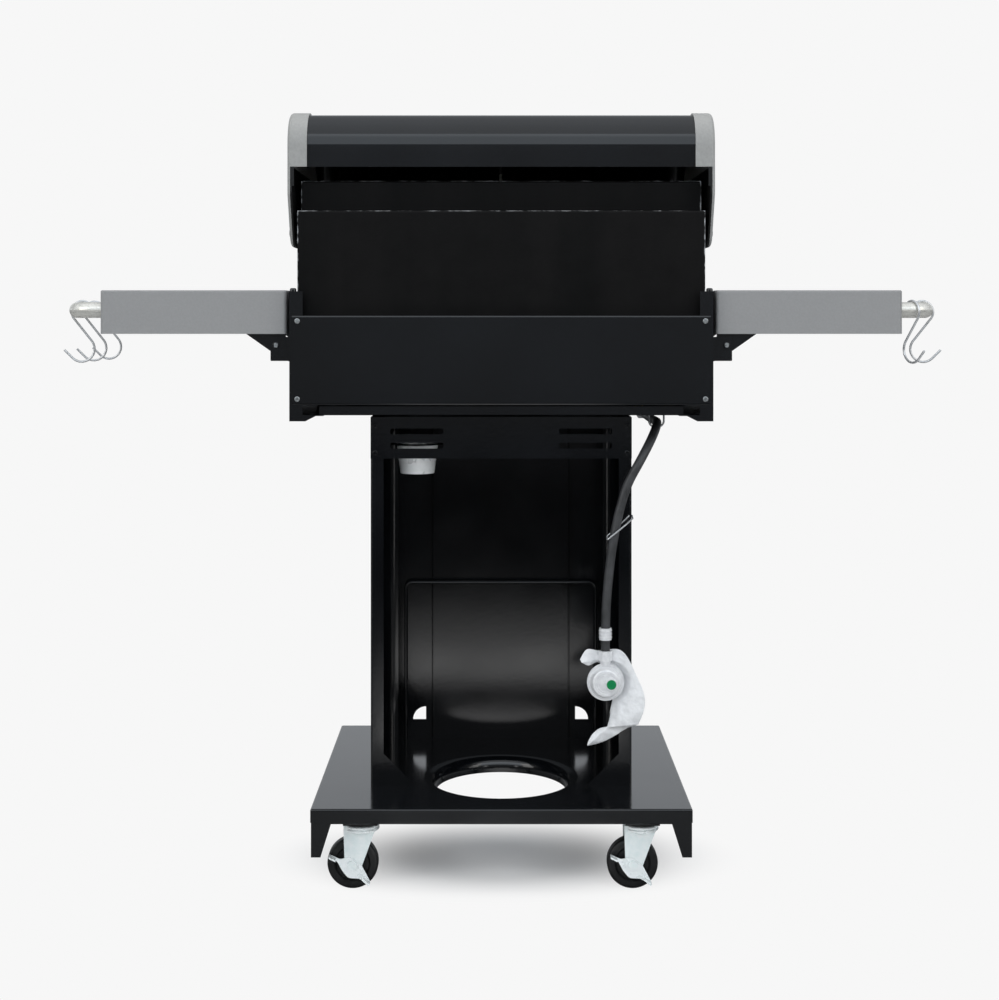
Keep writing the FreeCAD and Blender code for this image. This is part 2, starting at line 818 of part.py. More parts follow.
# Firebox: sheet tub with a V floor, hinge ears at the rear and ledges for the tamers and grates
def firebox():
    ear_y = hinge_y - ear_front
    flank = [(body_front, floor_edge), (firebox_rear, floor_edge), (firebox_rear, ear_top, bend),
             (ear_y, ear_top, ear_round), (ear_y - ear_slope, rim_z, ear_round), (body_front, rim_z)]
    wall = plate(flank, "x", wall_x, firebox_x)
    shelf = box(wall_x - side_flange, firebox_x, body_front, ear_y - ear_slope - bend, rim_z - sheet, rim_z)
    flanks = [wall, shelf, across(wall), across(shelf)]
    vee = [(-firebox_x, floor_edge), (0, floor_z), (firebox_x, floor_edge)]
    pan = plate(bent(vee, sheet), "y", body_front, firebox_rear)
    front = box(-firebox_x, firebox_x, body_front, body_front + sheet, floor_z, rim_z)
    brow = box(-firebox_x, firebox_x, body_front - rim_flange, body_front, rim_z - sheet, rim_z)
    ledges = [box(-wall_x, wall_x, body_front, body_front + ledge, z - sheet, z) for z in (grate_z, tamer_z)]
    tub = fused(flanks + [pan, front, brow] + ledges)
    middle = (body_front + firebox_rear) / 2
    drain = box(-floor_slot[0] / 2, floor_slot[0] / 2, middle - floor_slot[1] / 2, middle + floor_slot[1] / 2,
                floor_z - sheet, floor_edge)
    inlets = [rod((x, body_front, knob_z), (0, 1, 0), burner_r + slip, sheet) for x in burner_x]
    hinges = rod((-firebox_x, hinge_y, hinge_z), (1, 0, 0), hinge_pin_r + run, 2 * firebox_x)
    return tub.cut(group([drain] + inlets + [hinges]))


def rear_heat_plate():
    top = ear_top + sheet
    line = [(heat_plate_y, floor_edge), (heat_plate_y, top, bend), (upper_plate_y - sheet, top)]
    skin = plate(bent(line), "x", -firebox_x, firebox_x)
    reach = wall_x - slip
    ledges = [box(-reach, reach, firebox_rear - ledge, firebox_rear, z - sheet, z) for z in (grate_z, tamer_z)]
    return fused([skin] + ledges)


def upper_rear_plate():
    low = ear_top + sheet
    high = low + upper_plate_height
    line = [(upper_plate_y + upper_plate_foot, low), (upper_plate_y - sheet, low, bend),
            (upper_plate_y - sheet, high, bend), (upper_plate_y - sheet - upper_plate_hem, high)]
    return plate(bent(line, -sheet), "x", -firebox_x, firebox_x)


def burner(x):
    front = body_front - burner_lead
    rear = firebox_rear - burner_pin[1]
    pipe = rod((x, front, knob_z), (0, 1, 0), burner_r, rear - front)
    bore = rod((x, front, knob_z), (0, 1, 0), burner_r - burner_wall, rear - front - burner_wall)
    pin = rod((x, rear, knob_z), (0, 1, 0), burner_pin[0], burner_pin[1])
    return fused([pipe, pin]).cut(bore)


def flame_tamer(x):
    vee = [(x - tamer_width / 2, tamer_z), (x, tamer_z + tamer_rise, bend), (x + tamer_width / 2, tamer_z)]
    return plate(bent(vee, sheet), "y", body_front + 2 * sheet, firebox_rear - sheet)


def cooking_grate(index):
    width = 2 * (wall_x - slip) / grate_count
    low_x = -wall_x + slip + index * width + slip
    high_x = low_x + width - 2 * slip
    front, rear = body_front + 2 * sheet, firebox_rear - sheet
    slab = plate(rounded(low_x, high_x, front, rear, grate_round), "z", grate_z, grate_z + grate_thick)
    inside = high_x - low_x - 2 * grate_frame
    pitch = (inside + grate_bar) / grate_slots
    slots = []
    for i in range(grate_slots):
        start = low_x + grate_frame + i * pitch
        outline = rounded(start, start + pitch - grate_bar, front + 2 * grate_frame, rear - 2 * grate_frame,
                          grate_round)
        slots.append(plate(outline, "z", grate_z, grate_z + grate_thick))
    return slab.cut(group(slots))


def warming_rack():
    z = rim_z + rack_rise
    front = hinge_y - rack_front
    x = wall_x - side_flange / 2
    margin = 2 * rack_rail_r
    rods = []
    for i in range(rack_bars):
        y = front + i * rack_depth / (rack_bars - 1)
        rods.append(rod((-x, y, z), (1, 0, 0), rack_r, 2 * x))
    for side in (1, -1):
        rods.append(rod((side * x, front - margin, z), (0, 1, 0), rack_rail_r, rack_depth + 2 * margin))
        for y in rack_feet:
            rods.append(rod((side * x, front + y, rim_z), (0, 0, 1), rack_leg_r, z - rim_z))
    return fused(rods)


parts["firebox"] = firebox()
parts["rear_heat_plate"] = rear_heat_plate()
parts["upper_rear_plate"] = upper_rear_plate()
parts["burners"] = group([burner(x) for x in burner_x])
parts["flame_tamers"] = group([flame_tamer(x) for x in burner_x])
parts["cooking_grates"] = group([cooking_grate(i) for i in range(grate_count)])
parts["warming_rack"] = warming_rack()


# Control panel with its knobs, and the manifold that feeds a valve behind each knob
def control_panel():
    line = [(body_front - slip, panel_top), (panel_front + panel_nose[0], panel_top, 2 * bend),
            (panel_front, panel_top - panel_nose[1], 2 * bend), (panel_front, panel_low, bend),
            (panel_front + panel_hem, panel_low)]
    skin = plate(bent(line), "x", -body_x, body_x)
    end = [(body_front, panel_top), line[1], line[2], (panel_front, panel_low, bend), (body_front, panel_low)]
    cheek = plate(end, "x", body_x - sheet, body_x)
    holes = [rod((x, panel_front, knob_z), (0, 1, 0), stem_r + stem_gap, sheet) for x in burner_x]
    return fused([skin, cheek, across(cheek)]).cut(group(holes))


def knob(x):
    skirt = [(0, 0), (knob_r, 0), (knob_r, knob_skirt, knob_edge), (0, knob_skirt)]
    disc = turned(skirt, (x, knob_y, knob_z), (0, -1, 0))
    reach = knob_r - knob_edge
    outline = rounded(x - knob_grip / 2, x + knob_grip / 2, knob_z - reach, knob_z + reach, knob_grip / 3)
    grip = plate(outline, "y", knob_y - knob_length, knob_y)
    bore = rod((x, knob_y, knob_z), (0, -1, 0), stem_r + run, stem_reach + slip)
    return fused([disc, grip]).cut(bore)


def valve(x):
    front = panel_front + sheet + slip + valve_gap
    body = rod((x, front, knob_z), (0, 1, 0), valve_r, valve_length)
    jet_start = front + valve_length
    jet = rod((x, jet_start, knob_z), (0, 1, 0), stem_r, body_front + 2 * burner_lead - jet_start)
    stem = rod((x, knob_y - stem_reach, knob_z), (0, 1, 0), stem_r, front - knob_y + stem_reach)
    foot = box(x - valve_foot / 2, x + valve_foot / 2, manifold_y - manifold_r, manifold_y + manifold_r,
               manifold_z, knob_z)
    pipe = rod((x - valve_r, manifold_y, manifold_z), (1, 0, 0), manifold_r + run, 2 * valve_r)
    return fused([body, jet, stem, foot]).cut(pipe)


def manifold():
    inlet_x, inlet_y, inlet_z = hose_points[0]
    far = burner_x[-1] + manifold_tail
    path = [(V(far, manifold_y, manifold_z), 0), (V(inlet_x, manifold_y, manifold_z), manifold_bend),
            (V(inlet_x, manifold_y, inlet_z), manifold_bend), (V(inlet_x, inlet_y - inlet_nut[1], inlet_z), 0)]
    pipe = tube(path_edges(path), manifold_r)
    wide, high = manifold_stay[0] / 2, manifold_stay[1] / 2
    stays = [box(x - wide, x + wide, manifold_y, body_front, manifold_z - high, manifold_z + high)
             for x in (-burner_pitch, 0.0, burner_pitch)]
    return fused([pipe] + stays)


parts["control_panel"] = control_panel()
parts["gas_manifold"] = group([manifold()] + [valve(x) for x in burner_x])
for number, x in enumerate(burner_x, 1):
    parts["knob_%d" % number] = knob(x)


# Lid: one curved sheet between two cast end caps that turn on the hinge pins
lid_line = [(lid_rear, rim_z + lid_rear_rise), (lid_rear, rim_z + lid_height, lid_rear_round),
            (lid_front + lid_slope_depth, rim_z + lid_height - lid_crown_fall, lid_crown_round),
            (lid_front, rim_z + lid_nose_rise, lid_nose_round), (lid_front, lid_low)]
slope_top, slope_low = lid_line[2], lid_line[3]
slope = unit(V(0, slope_low[0] - slope_top[0], slope_low[1] - slope_top[1]))
slope_normal = V(0, slope.z, -slope.y)
dial_spot = V(0, (slope_top[0] + slope_low[0]) / 2, (slope_top[1] + slope_low[1]) / 2)


def lid_sheet():
    skin = plate(bent(lid_line), "x", -body_x, body_x)
    start = dial_spot + slope_normal * sheet
    return skin.cut(rod(start, slope_normal * -1, probe[0] + run, 3 * sheet))


def lid_cap():
    inside = shifted(lid_line, -cap_gap)
    rim = plate(bent(inside, -cap_rim), "x", lid_x - cap_rim_width, lid_x)
    edge = shifted(lid_line, -cap_gap - cap_rim)
    rear = edge[0][0]
    root, toe = cap_lobe_front
    heel, rise = cap_lobe_rear
    lobe = [(hinge_y - root, lid_low, 12.0), (hinge_y - toe, hinge_z - cap_lobe, 14.0),
            (hinge_y + heel, hinge_z - cap_lobe, 26.0), (rear, hinge_z + rise, 20.0)]
    cheek = plate(edge + lobe, "x", body_x, lid_x)
    depth, height = cap_lip
    lip_top = lid_line[0][1]
    lip = box(body_x - depth, lid_x, rear - cap_rim, rear, lip_top - height, lip_top)
    bore = rod((body_x, hinge_y, hinge_z), (1, 0, 0), hinge_pin_r + run, cap_wall)
    casting = eased(fused([rim, cheek, lip]), cap_round, lambda p: p.x > lid_x - slip)
    return casting.cut(bore)


def lid_handle():
    half = handle_length / 2
    outline = [(0, -half), (handle_r, -half, handle_edge), (handle_r, half, handle_edge), (0, half)]
    bar = turned(outline, (0, handle_y, handle_z), (1, 0, 0))
    foot_r, foot = handle_foot
    reach = lid_front - handle_y
    post = [(0, 0), (foot_r, 0), (foot_r, foot, 1.0), (handle_post_r, foot + handle_flare),
            (handle_post_r, reach), (0, reach)]
    posts = [turned(post, (side * handle_post_x, lid_front, handle_z), (0, -1, 0)) for side in (1, -1)]
    return fused([bar] + posts)


def thermometer():
    probe_r, depth = probe
    rim, recess = bezel
    dial_r = thermometer_r - rim - recess
    dial = thermometer_rise - recess
    outline = [(0, -depth), (probe_r, -depth), (probe_r, 0), (thermometer_r, 0),
               (thermometer_r, thermometer_rise, 2.0), (thermometer_r - rim, thermometer_rise), (dial_r, dial),
               (0, dial)]
    return turned(outline, dial_spot, slope_normal)


parts["lid_sheet"] = lid_sheet()
parts["lid_cap_right"] = lid_cap()
parts["lid_cap_left"] = across(parts["lid_cap_right"])
parts["lid_handle"] = lid_handle()
parts["thermometer"] = thermometer()


# Side shelves: inverted trays on folding ears, with bent towel bars on their outer ends
ear_y = (shelf_rear - bracket_inset - bracket[2] - slip, shelf_front + bracket_inset + bracket[2] + slip)


def shelf_tray():
    outer = [(shelf_x, shelf_front, shelf_bend), (shelf_end, shelf_front, shelf_corner),
             (shelf_end, shelf_rear, shelf_corner), (shelf_x, shelf_rear, shelf_bend)]
    inner = [(shelf_x + sheet, shelf_front + sheet, shelf_bend - sheet),
             (shelf_end - sheet, shelf_front + sheet, shelf_corner - sheet),
             (shelf_end - sheet, shelf_rear - sheet, shelf_corner - sheet),
             (shelf_x + sheet, shelf_rear - sheet, shelf_bend - sheet)]
    shell = eased(plate(outer, "z", shelf_low, shelf_top), shelf_edge, lambda p: p.z > shelf_top - slip)
    hollow = plate(inner, "z", shelf_low, shelf_top - sheet)
    return shell.cut(eased(hollow, shelf_edge - sheet, lambda p: p.z > shelf_top - sheet - slip))


def shelf_ear(low, high):
    near, foot = shelf_x + 2 * sheet, pivot_z - ear_eye
    far, top = near + ear_length, shelf_top - sheet
    outline = [(near, top), (far, top), (far, shelf_low + ear_end), (pivot_x + ear_eye, foot, 0.6 * ear_eye),
               (pivot_x - ear_eye, foot, 0.8 * ear_eye), (near, pivot_z)]
    ear = plate(outline, "y", low, high)
    return ear.cut(rod((pivot_x, low, pivot_z), (0, 1, 0), pivot_bolt_r + run, bracket[2]))


def towel_bar():
    rear, front = shelf_rear - bar_inset, shelf_front + bar_inset
    path = [(V(shelf_end, rear, bar_z), 0), (V(bar_x, rear, bar_z), bar_bend),
            (V(bar_x, front, bar_z), bar_bend), (V(shelf_end, front, bar_z), 0)]
    return tube(path_edges(path), bar_r).cut(tube(path_edges(path), bar_r - bar_wall))


def shelf_bracket(low, high, flange_to):
    top = shelf_low - bracket_gap
    foot = top - bracket[1]
    outer = body_x + bracket[0]
    outline = [(body_x, foot), (outer, foot, bracket_round), (outer, top, bracket_round), (body_x, top)]
    wing = plate(outline, "y", low, high)
    flange = box(body_x, body_x + bracket[2], min(low, flange_to), max(high, flange_to), foot, top)
    bore = rod((pivot_x, low, pivot_z), (0, 1, 0), pivot_bolt_r + run, high - low)
    return fused([wing, flange]).cut(bore)


def pivot_bolt(wing, ear, outward):
    """A bolt through a bracket wing and a shelf ear, its head outside the wing and its nut inside the ear."""
    rim, head = pivot_head
    nut_r, head_r = pivot_bolt_r + pivot_nut, pivot_bolt_r + rim
    grip = abs(wing - ear) + slip
    outline = [(0, -grip - head), (nut_r, -grip - head), (nut_r, -grip), (pivot_bolt_r, -grip),
               (pivot_bolt_r, 0), (head_r, 0), (head_r, head, head / 2), (0, head)]
    return turned(outline, (pivot_x, wing, pivot_z), (0, outward, 0))


wing_rear = shelf_rear - bracket_inset
wing_front = shelf_front + bracket_inset
ears = [shelf_ear(ear_y[0] - bracket[2], ear_y[0]), shelf_ear(ear_y[1], ear_y[1] + bracket[2])]
brackets = [shelf_bracket(wing_rear - bracket[2], wing_rear, wing_rear - bracket[2] + bracket_flange),
            shelf_bracket(wing_front, wing_front + bracket[2], wing_front + bracket[2] - bracket_flange)]
pivot_bolts = [pivot_bolt(wing_rear, ear_y[0] - bracket[2], 1),
               pivot_bolt(wing_front, ear_y[1] + bracket[2], -1)]
parts["right_shelf_tray"] = shelf_tray()
parts["right_shelf_ears"] = group(ears)
parts["right_towel_bar"] = towel_bar()
for piece in ("shelf_tray", "shelf_ears", "towel_bar"):
    parts["left_" + piece] = across(parts["right_" + piece])
parts["shelf_brackets"] = group(brackets + [across(b) for b in brackets])


# S-hooks: bent wire that hangs from a towel bar with its centre of mass plumb under the bar
def hook_wire():
    loop_r = hook_loop_r + hook_wire_r
    loop = V(0, 0, bar_r + slip - hook_loop_r)
    bowl = V(hook_shift, 0, -hook_drop)
    span = bowl - loop
    cross = math.atan2(span.z, span.x) + math.acos((loop_r + hook_bowl_r) / span.Length)

    def on(centre, radius, angle):
        return centre + V(math.cos(angle), 0, math.sin(angle)) * radius

    start, end = math.radians(hook_start), math.radians(hook_end)
    top = Part.Arc(on(loop, loop_r, start), on(loop, loop_r, (start + cross) / 2), on(loop, loop_r, cross))
    below = cross + math.pi
    bottom = Part.Arc(on(bowl, hook_bowl_r, below), on(bowl, hook_bowl_r, (below + end) / 2),
                      on(bowl, hook_bowl_r, end))
    tip_start = on(bowl, hook_bowl_r, end)
    tip_end = tip_start + V(-math.sin(end), 0, math.cos(end)) * hook_tip
    shank = Part.LineSegment(on(loop, loop_r, cross), on(bowl, hook_bowl_r, below))
    tip = Part.LineSegment(tip_start, tip_end)
    return tube([edge.toShape() for edge in (top, shank, bottom, tip)], hook_wire_r)


hook_balance = hook_wire().CenterOfMass
hook_lean = math.degrees(math.atan2(hook_balance.x, -hook_balance.z))


def hung_hook(place, turn):
    hook = hook_wire()
    hook.rotate(V(0, 0, 0), V(0, 1, 0), hook_lean)
    hook.rotate(V(0, 0, 0), V(0, 0, 1), turn)
    hook.translate(V(*place))
    return hook


bar_leg_y = shelf_rear - bar_inset
hook_places = [((bar_x, y, bar_z), 0) for y in hooks_right]
hook_places.append(((-bar_x, hook_left, bar_z), 180))
hook_places.append(((-shelf_end - hook_leg[0], bar_leg_y, bar_z), hook_leg[1]))
for number, (place, turn) in enumerate(hook_places, 1):
    parts["hook_%d" % number] = hung_hook(place, turn)


# Fasteners of the fixed frame: hinge pins, shelf pivot bolts, panel screws and bolts
def hinge_pin():
    nut, nut_end = hinge_pin_r + hinge_nut[0], -sheet - hinge_nut[1]
    head = hinge_pin_r + hinge_head[0]
    collar_end = firebox_side_gap - slip
    head_start = firebox_side_gap + cap_wall + slip
    head_end = head_start + hinge_head[1]
    outline = [(0, nut_end), (nut, nut_end), (nut, -sheet), (hinge_pin_r, -sheet), (hinge_pin_r, 0), (head, 0),
               (head, collar_end), (hinge_pin_r, collar_end), (hinge_pin_r, head_start), (head, head_start),
               (head, head_end, hinge_head[1] / 2), (0, head_end)]
    return turned(outline, (firebox_x, hinge_y, hinge_z), (1, 0, 0))


fasteners = [hinge_pin(), across(hinge_pin())]
fasteners += pivot_bolts + [across(bolt) for bolt in pivot_bolts]
fasteners += [screw(place, backward, small_screw) for place in rail_screws + cover_screws]
fasteners += [screw(place, upward, panel_bolt) for place in flange_bolts]
parts["fasteners"] = group(fasteners)


# Gas hose from the manifold inlet under the tray and down beside the cabinet to the regulator
def turned_hexagon(place, direction, flats, length):
    radius = flats / math.sqrt(3)
    corners = [(radius * math.cos(k * math.pi / 3), radius * math.sin(k * math.pi / 3)) for k in range(6)]
    nut = plate(corners, "z", 0, length)
    nut.Placement = FreeCAD.Placement(V(*place), FreeCAD.Rotation(V(0, 0, 1), V(*direction)))
    return nut


def hose():
    spots = [V(*p) for p in hose_points]
    path = [(spots[0], 0)]
    for before, here, after in zip(spots, spots[1:], spots[2:]):
        turn = (here - before).getAngle(after - here)
        shorter = min((here - before).Length, (after - here).Length)
        radius = 0.45 * shorter / math.tan(turn / 2)
        print("hose bend radius %.0f mm, turn %.1f degrees" % (radius, math.degrees(turn)))
        path.append((here, radius))
    path.append((spots[-1], 0))
    edges = path_edges(path)
    length = sum(edge.Length for edge in edges)
    solid = tube(edges, hose_r)
    print("hose length %.1f mm, volume ratio %.5f" % (length, solid.Volume / (math.pi * hose_r ** 2 * length)))
    return solid


def inlet_fitting():
    x, y, z = hose_points[0]
    flats, length = inlet_nut
    return turned_hexagon((x, y - length, z), (0, 1, 0), flats, length)


def hose_staple():
    """A wire staple under the rear crossbar that carries the hose."""
    x, z = hose_points[4][0], hose_points[4][2]
    half = hose_r + 3 * staple_r
    low = z - hose_r - staple_r - slip
    path = [(V(x - half, staple_y, crossbar_low), 0), (V(x - half, staple_y, low), half - staple_r),
            (V(x + half, staple_y, low), half - staple_r), (V(x + half, staple_y, crossbar_low), 0)]
    return tube(path_edges(path), staple_r)


def hose_clip():
    """A bent wire clip round the hose, from the cabinet's rear flange to its outer side."""
    path = [(V(*p), clip_bend) for p in clip_points]
    return tube(path_edges(path), clip_r)


regulator_x, regulator_y, hose_end_z = hose_points[-1]
regulator_z = hose_end_z - regulator_drop
regulator_back = regulator_y - regulator_set
vent_cap_place = (regulator_x + vent_cap_spot[0], regulator_back + regulator_depth,
                  regulator_z + vent_cap_spot[1])


def regulator():
    nut_z = hose_end_z - swivel_nut[1]
    nut = turned_hexagon((regulator_x, regulator_y, nut_z), (0, 0, 1), *swivel_nut)
    neck = rod((regulator_x, regulator_y, regulator_z), (0, 0, 1), neck_r, nut_z - regulator_z)
    lap, rim = regulator_rim
    shell_r, dome_r = regulator_r - lap, regulator_r - regulator_dome
    rim_end = regulator_base + rim
    outline = [(0, 0), (shell_r, 0, 5.0), (shell_r, regulator_base), (regulator_r, regulator_base),
               (regulator_r, rim_end), (shell_r - lap, rim_end), (dome_r, regulator_depth, 4.0),
               (0, regulator_depth)]
    bowl = turned(outline, (regulator_x, regulator_back, regulator_z), (0, 1, 0))
    wall, proud = vent_collar
    inner, outer = vent_cap_r + run, vent_cap_r + wall
    ring = [(inner, -proud), (outer, -proud), (outer, proud, 0.4 * wall), (inner, proud)]
    collar = turned(ring, vent_cap_place, (0, 1, 0))
    nose_end = tank_nut_length + tank_nose_length
    nose = [(0, 0), (tank_nut_r, 0), (tank_nut_r, tank_nut_length, 2.0), (tank_nose_r, tank_nut_length),
            (tank_nose_r, nose_end, 3.0), (0, nose_end)]
    tank_nut = turned(nose, (regulator_x, regulator_back, regulator_z), (0, -1, 0))
    outer, length, rise = ferrule
    low = hose_end_z + rise
    sleeve = rod((regulator_x, regulator_y, low), (0, 0, 1), outer, length)
    sleeve = sleeve.cut(rod((regulator_x, regulator_y, low), (0, 0, 1), hose_r + run, length))
    return group([fused([bowl, neck, collar]), nut, tank_nut, sleeve])


def regulator_vent_cap():
    outline = [(0, 0), (vent_cap_r, 0), (vent_cap_r, vent_cap_depth, 1.5), (0, vent_cap_depth)]
    return turned(outline, vent_cap_place, (0, 1, 0))


def paper_tag():
    """A blank curled tag: a bent sheet cut to its outline, held between the regulator and the flange."""
    near = regulator_back - slip - tag_thick
    below, above = tag_height
    blank = plate(placed(tag_outline, regulator_x, regulator_z), "y", near - tag_thick, near + tag_bow)
    curl = bent(placed(tag_curl, regulator_x, near), -tag_thick)
    return plate(curl, "z", regulator_z - below, regulator_z + above).common(blank)


parts["hose"] = hose()
parts["hose_hardware"] = group([inlet_fitting(), hose_staple(), hose_clip()])
parts["regulator"] = regulator()
parts["regulator_vent_cap"] = regulator_vent_cap()
parts["paper_tag"] = paper_tag()

os.makedirs("parts", exist_ok=True)
for name, shape in parts.items():
    shape.exportStep("parts/" + name + ".step")
print(len(parts), "nodes")
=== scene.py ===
# %% [markdown]
# A gas grill seen from behind, dressed in Blender. The solid model is the fixed frame: every sheet, hinge
# and caster is already in its place and at its size. This lesson gives each surface the finish of the
# real thing, hangs the gas hose and its paper tag, and adds the small fittings that a hand would feel.

# %% Load the frame
import bpy
import bmesh
import json
import math
from mathutils import Matrix, Vector, noise


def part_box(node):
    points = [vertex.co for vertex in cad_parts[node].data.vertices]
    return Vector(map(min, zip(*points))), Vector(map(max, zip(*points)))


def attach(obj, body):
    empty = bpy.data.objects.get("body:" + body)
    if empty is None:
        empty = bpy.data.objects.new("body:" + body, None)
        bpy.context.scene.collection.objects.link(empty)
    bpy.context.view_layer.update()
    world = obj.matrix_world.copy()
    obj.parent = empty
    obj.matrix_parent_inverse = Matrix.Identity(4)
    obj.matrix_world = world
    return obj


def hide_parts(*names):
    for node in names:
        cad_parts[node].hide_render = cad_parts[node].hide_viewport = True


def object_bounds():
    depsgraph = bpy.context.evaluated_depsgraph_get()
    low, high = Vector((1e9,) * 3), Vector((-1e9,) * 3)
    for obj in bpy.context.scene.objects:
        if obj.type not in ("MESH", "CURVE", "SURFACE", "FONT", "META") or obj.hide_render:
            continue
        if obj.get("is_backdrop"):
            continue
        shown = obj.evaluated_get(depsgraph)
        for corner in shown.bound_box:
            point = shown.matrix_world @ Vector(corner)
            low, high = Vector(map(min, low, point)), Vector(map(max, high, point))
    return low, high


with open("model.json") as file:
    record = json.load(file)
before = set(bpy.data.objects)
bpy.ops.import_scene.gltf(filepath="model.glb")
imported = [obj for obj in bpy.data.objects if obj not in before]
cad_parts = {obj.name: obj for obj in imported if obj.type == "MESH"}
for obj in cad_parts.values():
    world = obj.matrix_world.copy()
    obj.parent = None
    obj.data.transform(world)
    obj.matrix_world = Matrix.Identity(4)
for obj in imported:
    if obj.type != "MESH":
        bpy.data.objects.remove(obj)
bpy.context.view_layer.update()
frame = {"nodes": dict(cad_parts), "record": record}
nodes = frame["nodes"]
scene = bpy.context.scene
MM = 0.001

# %% [markdown]
# The camera comes first, because it decides which details matter. The photograph was taken from behind,
# almost square on, about 2.3 metres from the base shelf and 0.86 metres up. Its upright lines stay
# parallel, so the camera looks level and the lens is shifted down to bring the casters into the frame.

# %% Camera
photo_height = 1000
focal_pixels = 1588.0
camera_place = Vector((0.00875, 2.610, 0.855))
vanishing_row = 316.0
vanishing_column = 496.0
sensor = 36.0

camera_data = bpy.data.cameras.new("camera")
camera_data.sensor_width = sensor
camera_data.lens = sensor * focal_pixels / photo_height
camera_data.shift_y = (vanishing_row - photo_height / 2) / photo_height
camera_data.shift_x = (photo_height / 2 - vanishing_column) / photo_height
camera = bpy.data.objects.new("camera", camera_data)
camera.location = camera_place
camera.rotation_euler = (math.pi / 2, 0.0, math.pi)
scene.collection.objects.link(camera)
scene.camera = camera
print("lens %.1f mm, shift %.3f" % (camera_data.lens, camera_data.shift_y))

# %% [markdown]
# The gas hose is 14 mm rubber. It leaves the manifold behind the control panel, runs back under the tray
# and hangs down along the cabinet's rear edge to the regulator. A mesh tube would do, but a NURBS curve
# steered by the solid hose's own points gives one smooth line. Its round bevel is one metre and each
# point's radius scales it down to the hose, which keeps the curve's box right.

# %% Gas hose
hose_radius = 7.0 * MM
hose_sides = 24
hose_route = [
    (-245, -140, 688), (-245, -62, 688), (-247.5, 14, 686), (-247.3, 66, 687.2), (-247, 108.8, 687.5),
    (-235.1, 148.2, 668), (-214.7, 171, 634.4), (-193.5, 171.3, 597), (-183.5, 171, 563.5),
    (-175.5, 171.3, 529), (-168.5, 171, 487), (-163.5, 171.2, 440), (-160, 171, 390.5), (-160, 171, 341),
]
hose_points = [Vector(p) * MM for p in hose_route]

hose_curve = bpy.data.curves.new("gas_hose", "CURVE")
hose_curve.dimensions = "3D"
hose_curve.bevel_depth = 1.0
hose_curve.bevel_resolution = hose_sides // 4
hose_curve.use_fill_caps = True
hose_curve.resolution_u = 12
spline = hose_curve.splines.new("NURBS")
spline.points.add(len(hose_points) - 1)
for spot, place in zip(spline.points, hose_points):
    spot.co = (*place, 1.0)
    spot.radius = hose_radius
spline.order_u = 3
spline.use_endpoint_u = True
gas_hose = bpy.data.objects.new("gas_hose", hose_curve)
scene.collection.objects.link(gas_hose)
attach(gas_hose, "cart")
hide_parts("hose")
print("hose points", len(hose_points))

# %% [markdown]
# A few helpers serve every finish. Colours are sRGB hex codes and the shader wants linear light, so one
# function converts them. One adds a node with its settings and links. One makes cloudy values as wide as
# a size on the real surface, in millimetres, because Object coordinates are in metres. The last joins
# them to a whole finish: two shades that drift into each other, a gloss that varies, and a grain of a
# real depth.

# %% Helpers for finishes


def linear(code):
    """An sRGB hex code as linear red, green, blue and alpha."""
    values = [int(code[i:i + 2], 16) / 255 for i in (1, 3, 5)]
    return tuple(v / 12.92 if v <= 0.04045 else ((v + 0.055) / 1.055) ** 2.4 for v in values) + (1.0,)


def add(tree, kind, inputs=None, **settings):
    """A node with its settings, each input being a value or another node's output."""
    node = tree.nodes.new(kind)
    for name, value in settings.items():
        setattr(node, name, value)
    for name, value in (inputs or {}).items():
        if isinstance(value, bpy.types.NodeSocket):
            tree.links.new(value, node.inputs[name])
        else:
            node.inputs[name].default_value = value
    return node


def blotches(tree, size_mm, low, high, detail=3.0, stretch=(1, 1, 1)):
    """Cloudy values from low to high, as wide as a size on the surface, stretched if asked."""
    place = add(tree, "ShaderNodeTexCoord").outputs["Object"]
    stretched = add(tree, "ShaderNodeMapping", {"Vector": place, "Scale": stretch}).outputs["Vector"]
    cloud = add(tree, "ShaderNodeTexNoise",
                {"Vector": stretched, "Scale": 1.0 / (size_mm * MM), "Detail": detail})
    ends = {"From Min": 0.3, "From Max": 0.7, "To Min": low, "To Max": high}
    return add(tree, "ShaderNodeMapRange", {"Value": cloud.outputs["Fac"], **ends}).outputs["Result"]


print("a middle grey is", [round(v, 3) for v in linear("#808080")])

# %% One finish for every surface


def finish(name, dark, light, mottle, gloss, grain, depth_mm, over=None, **shader):
    """A material whose colour, roughness and relief follow blotches.

    mottle, gloss and grain are what blotches takes: a size in millimetres, low, high, detail and stretch.
    over, if given, is a function for the share of a second colour on top, and that colour.
    """
    material = bpy.data.materials.new(name)
    material.use_nodes = True
    tree = material.node_tree
    surface = tree.nodes["Principled BSDF"]
    for socket, value in shader.items():
        surface.inputs[socket.replace("_", " ")].default_value = value
    shades = {0: blotches(tree, *mottle), 6: linear(dark), 7: linear(light)}
    colour = add(tree, "ShaderNodeMix", shades, data_type="RGBA").outputs[2]
    if over:
        share, second = over
        shades = {0: share(tree), 6: colour, 7: linear(second)}
        colour = add(tree, "ShaderNodeMix", shades, data_type="RGBA").outputs[2]
    height = blotches(tree, *grain)
    bump = add(tree, "ShaderNodeBump", {"Height": height, "Distance": depth_mm * MM, "Strength": 1.0})
    tree.links.new(colour, surface.inputs["Base Color"])
    tree.links.new(blotches(tree, *gloss), surface.inputs["Roughness"])
    tree.links.new(bump.outputs["Normal"], surface.inputs["Normal"])
    print(name)
    return material


finishes = {}
print("ready for finishes")

# %% [markdown]
# Most of the cart is sheet steel in gloss black powder coat. The powder melts into a skin with a faint
# orange peel and its gloss varies a little where it flowed. The real peel is about 2 mm across and would
# vanish at this distance, so it is drawn at 6 mm.

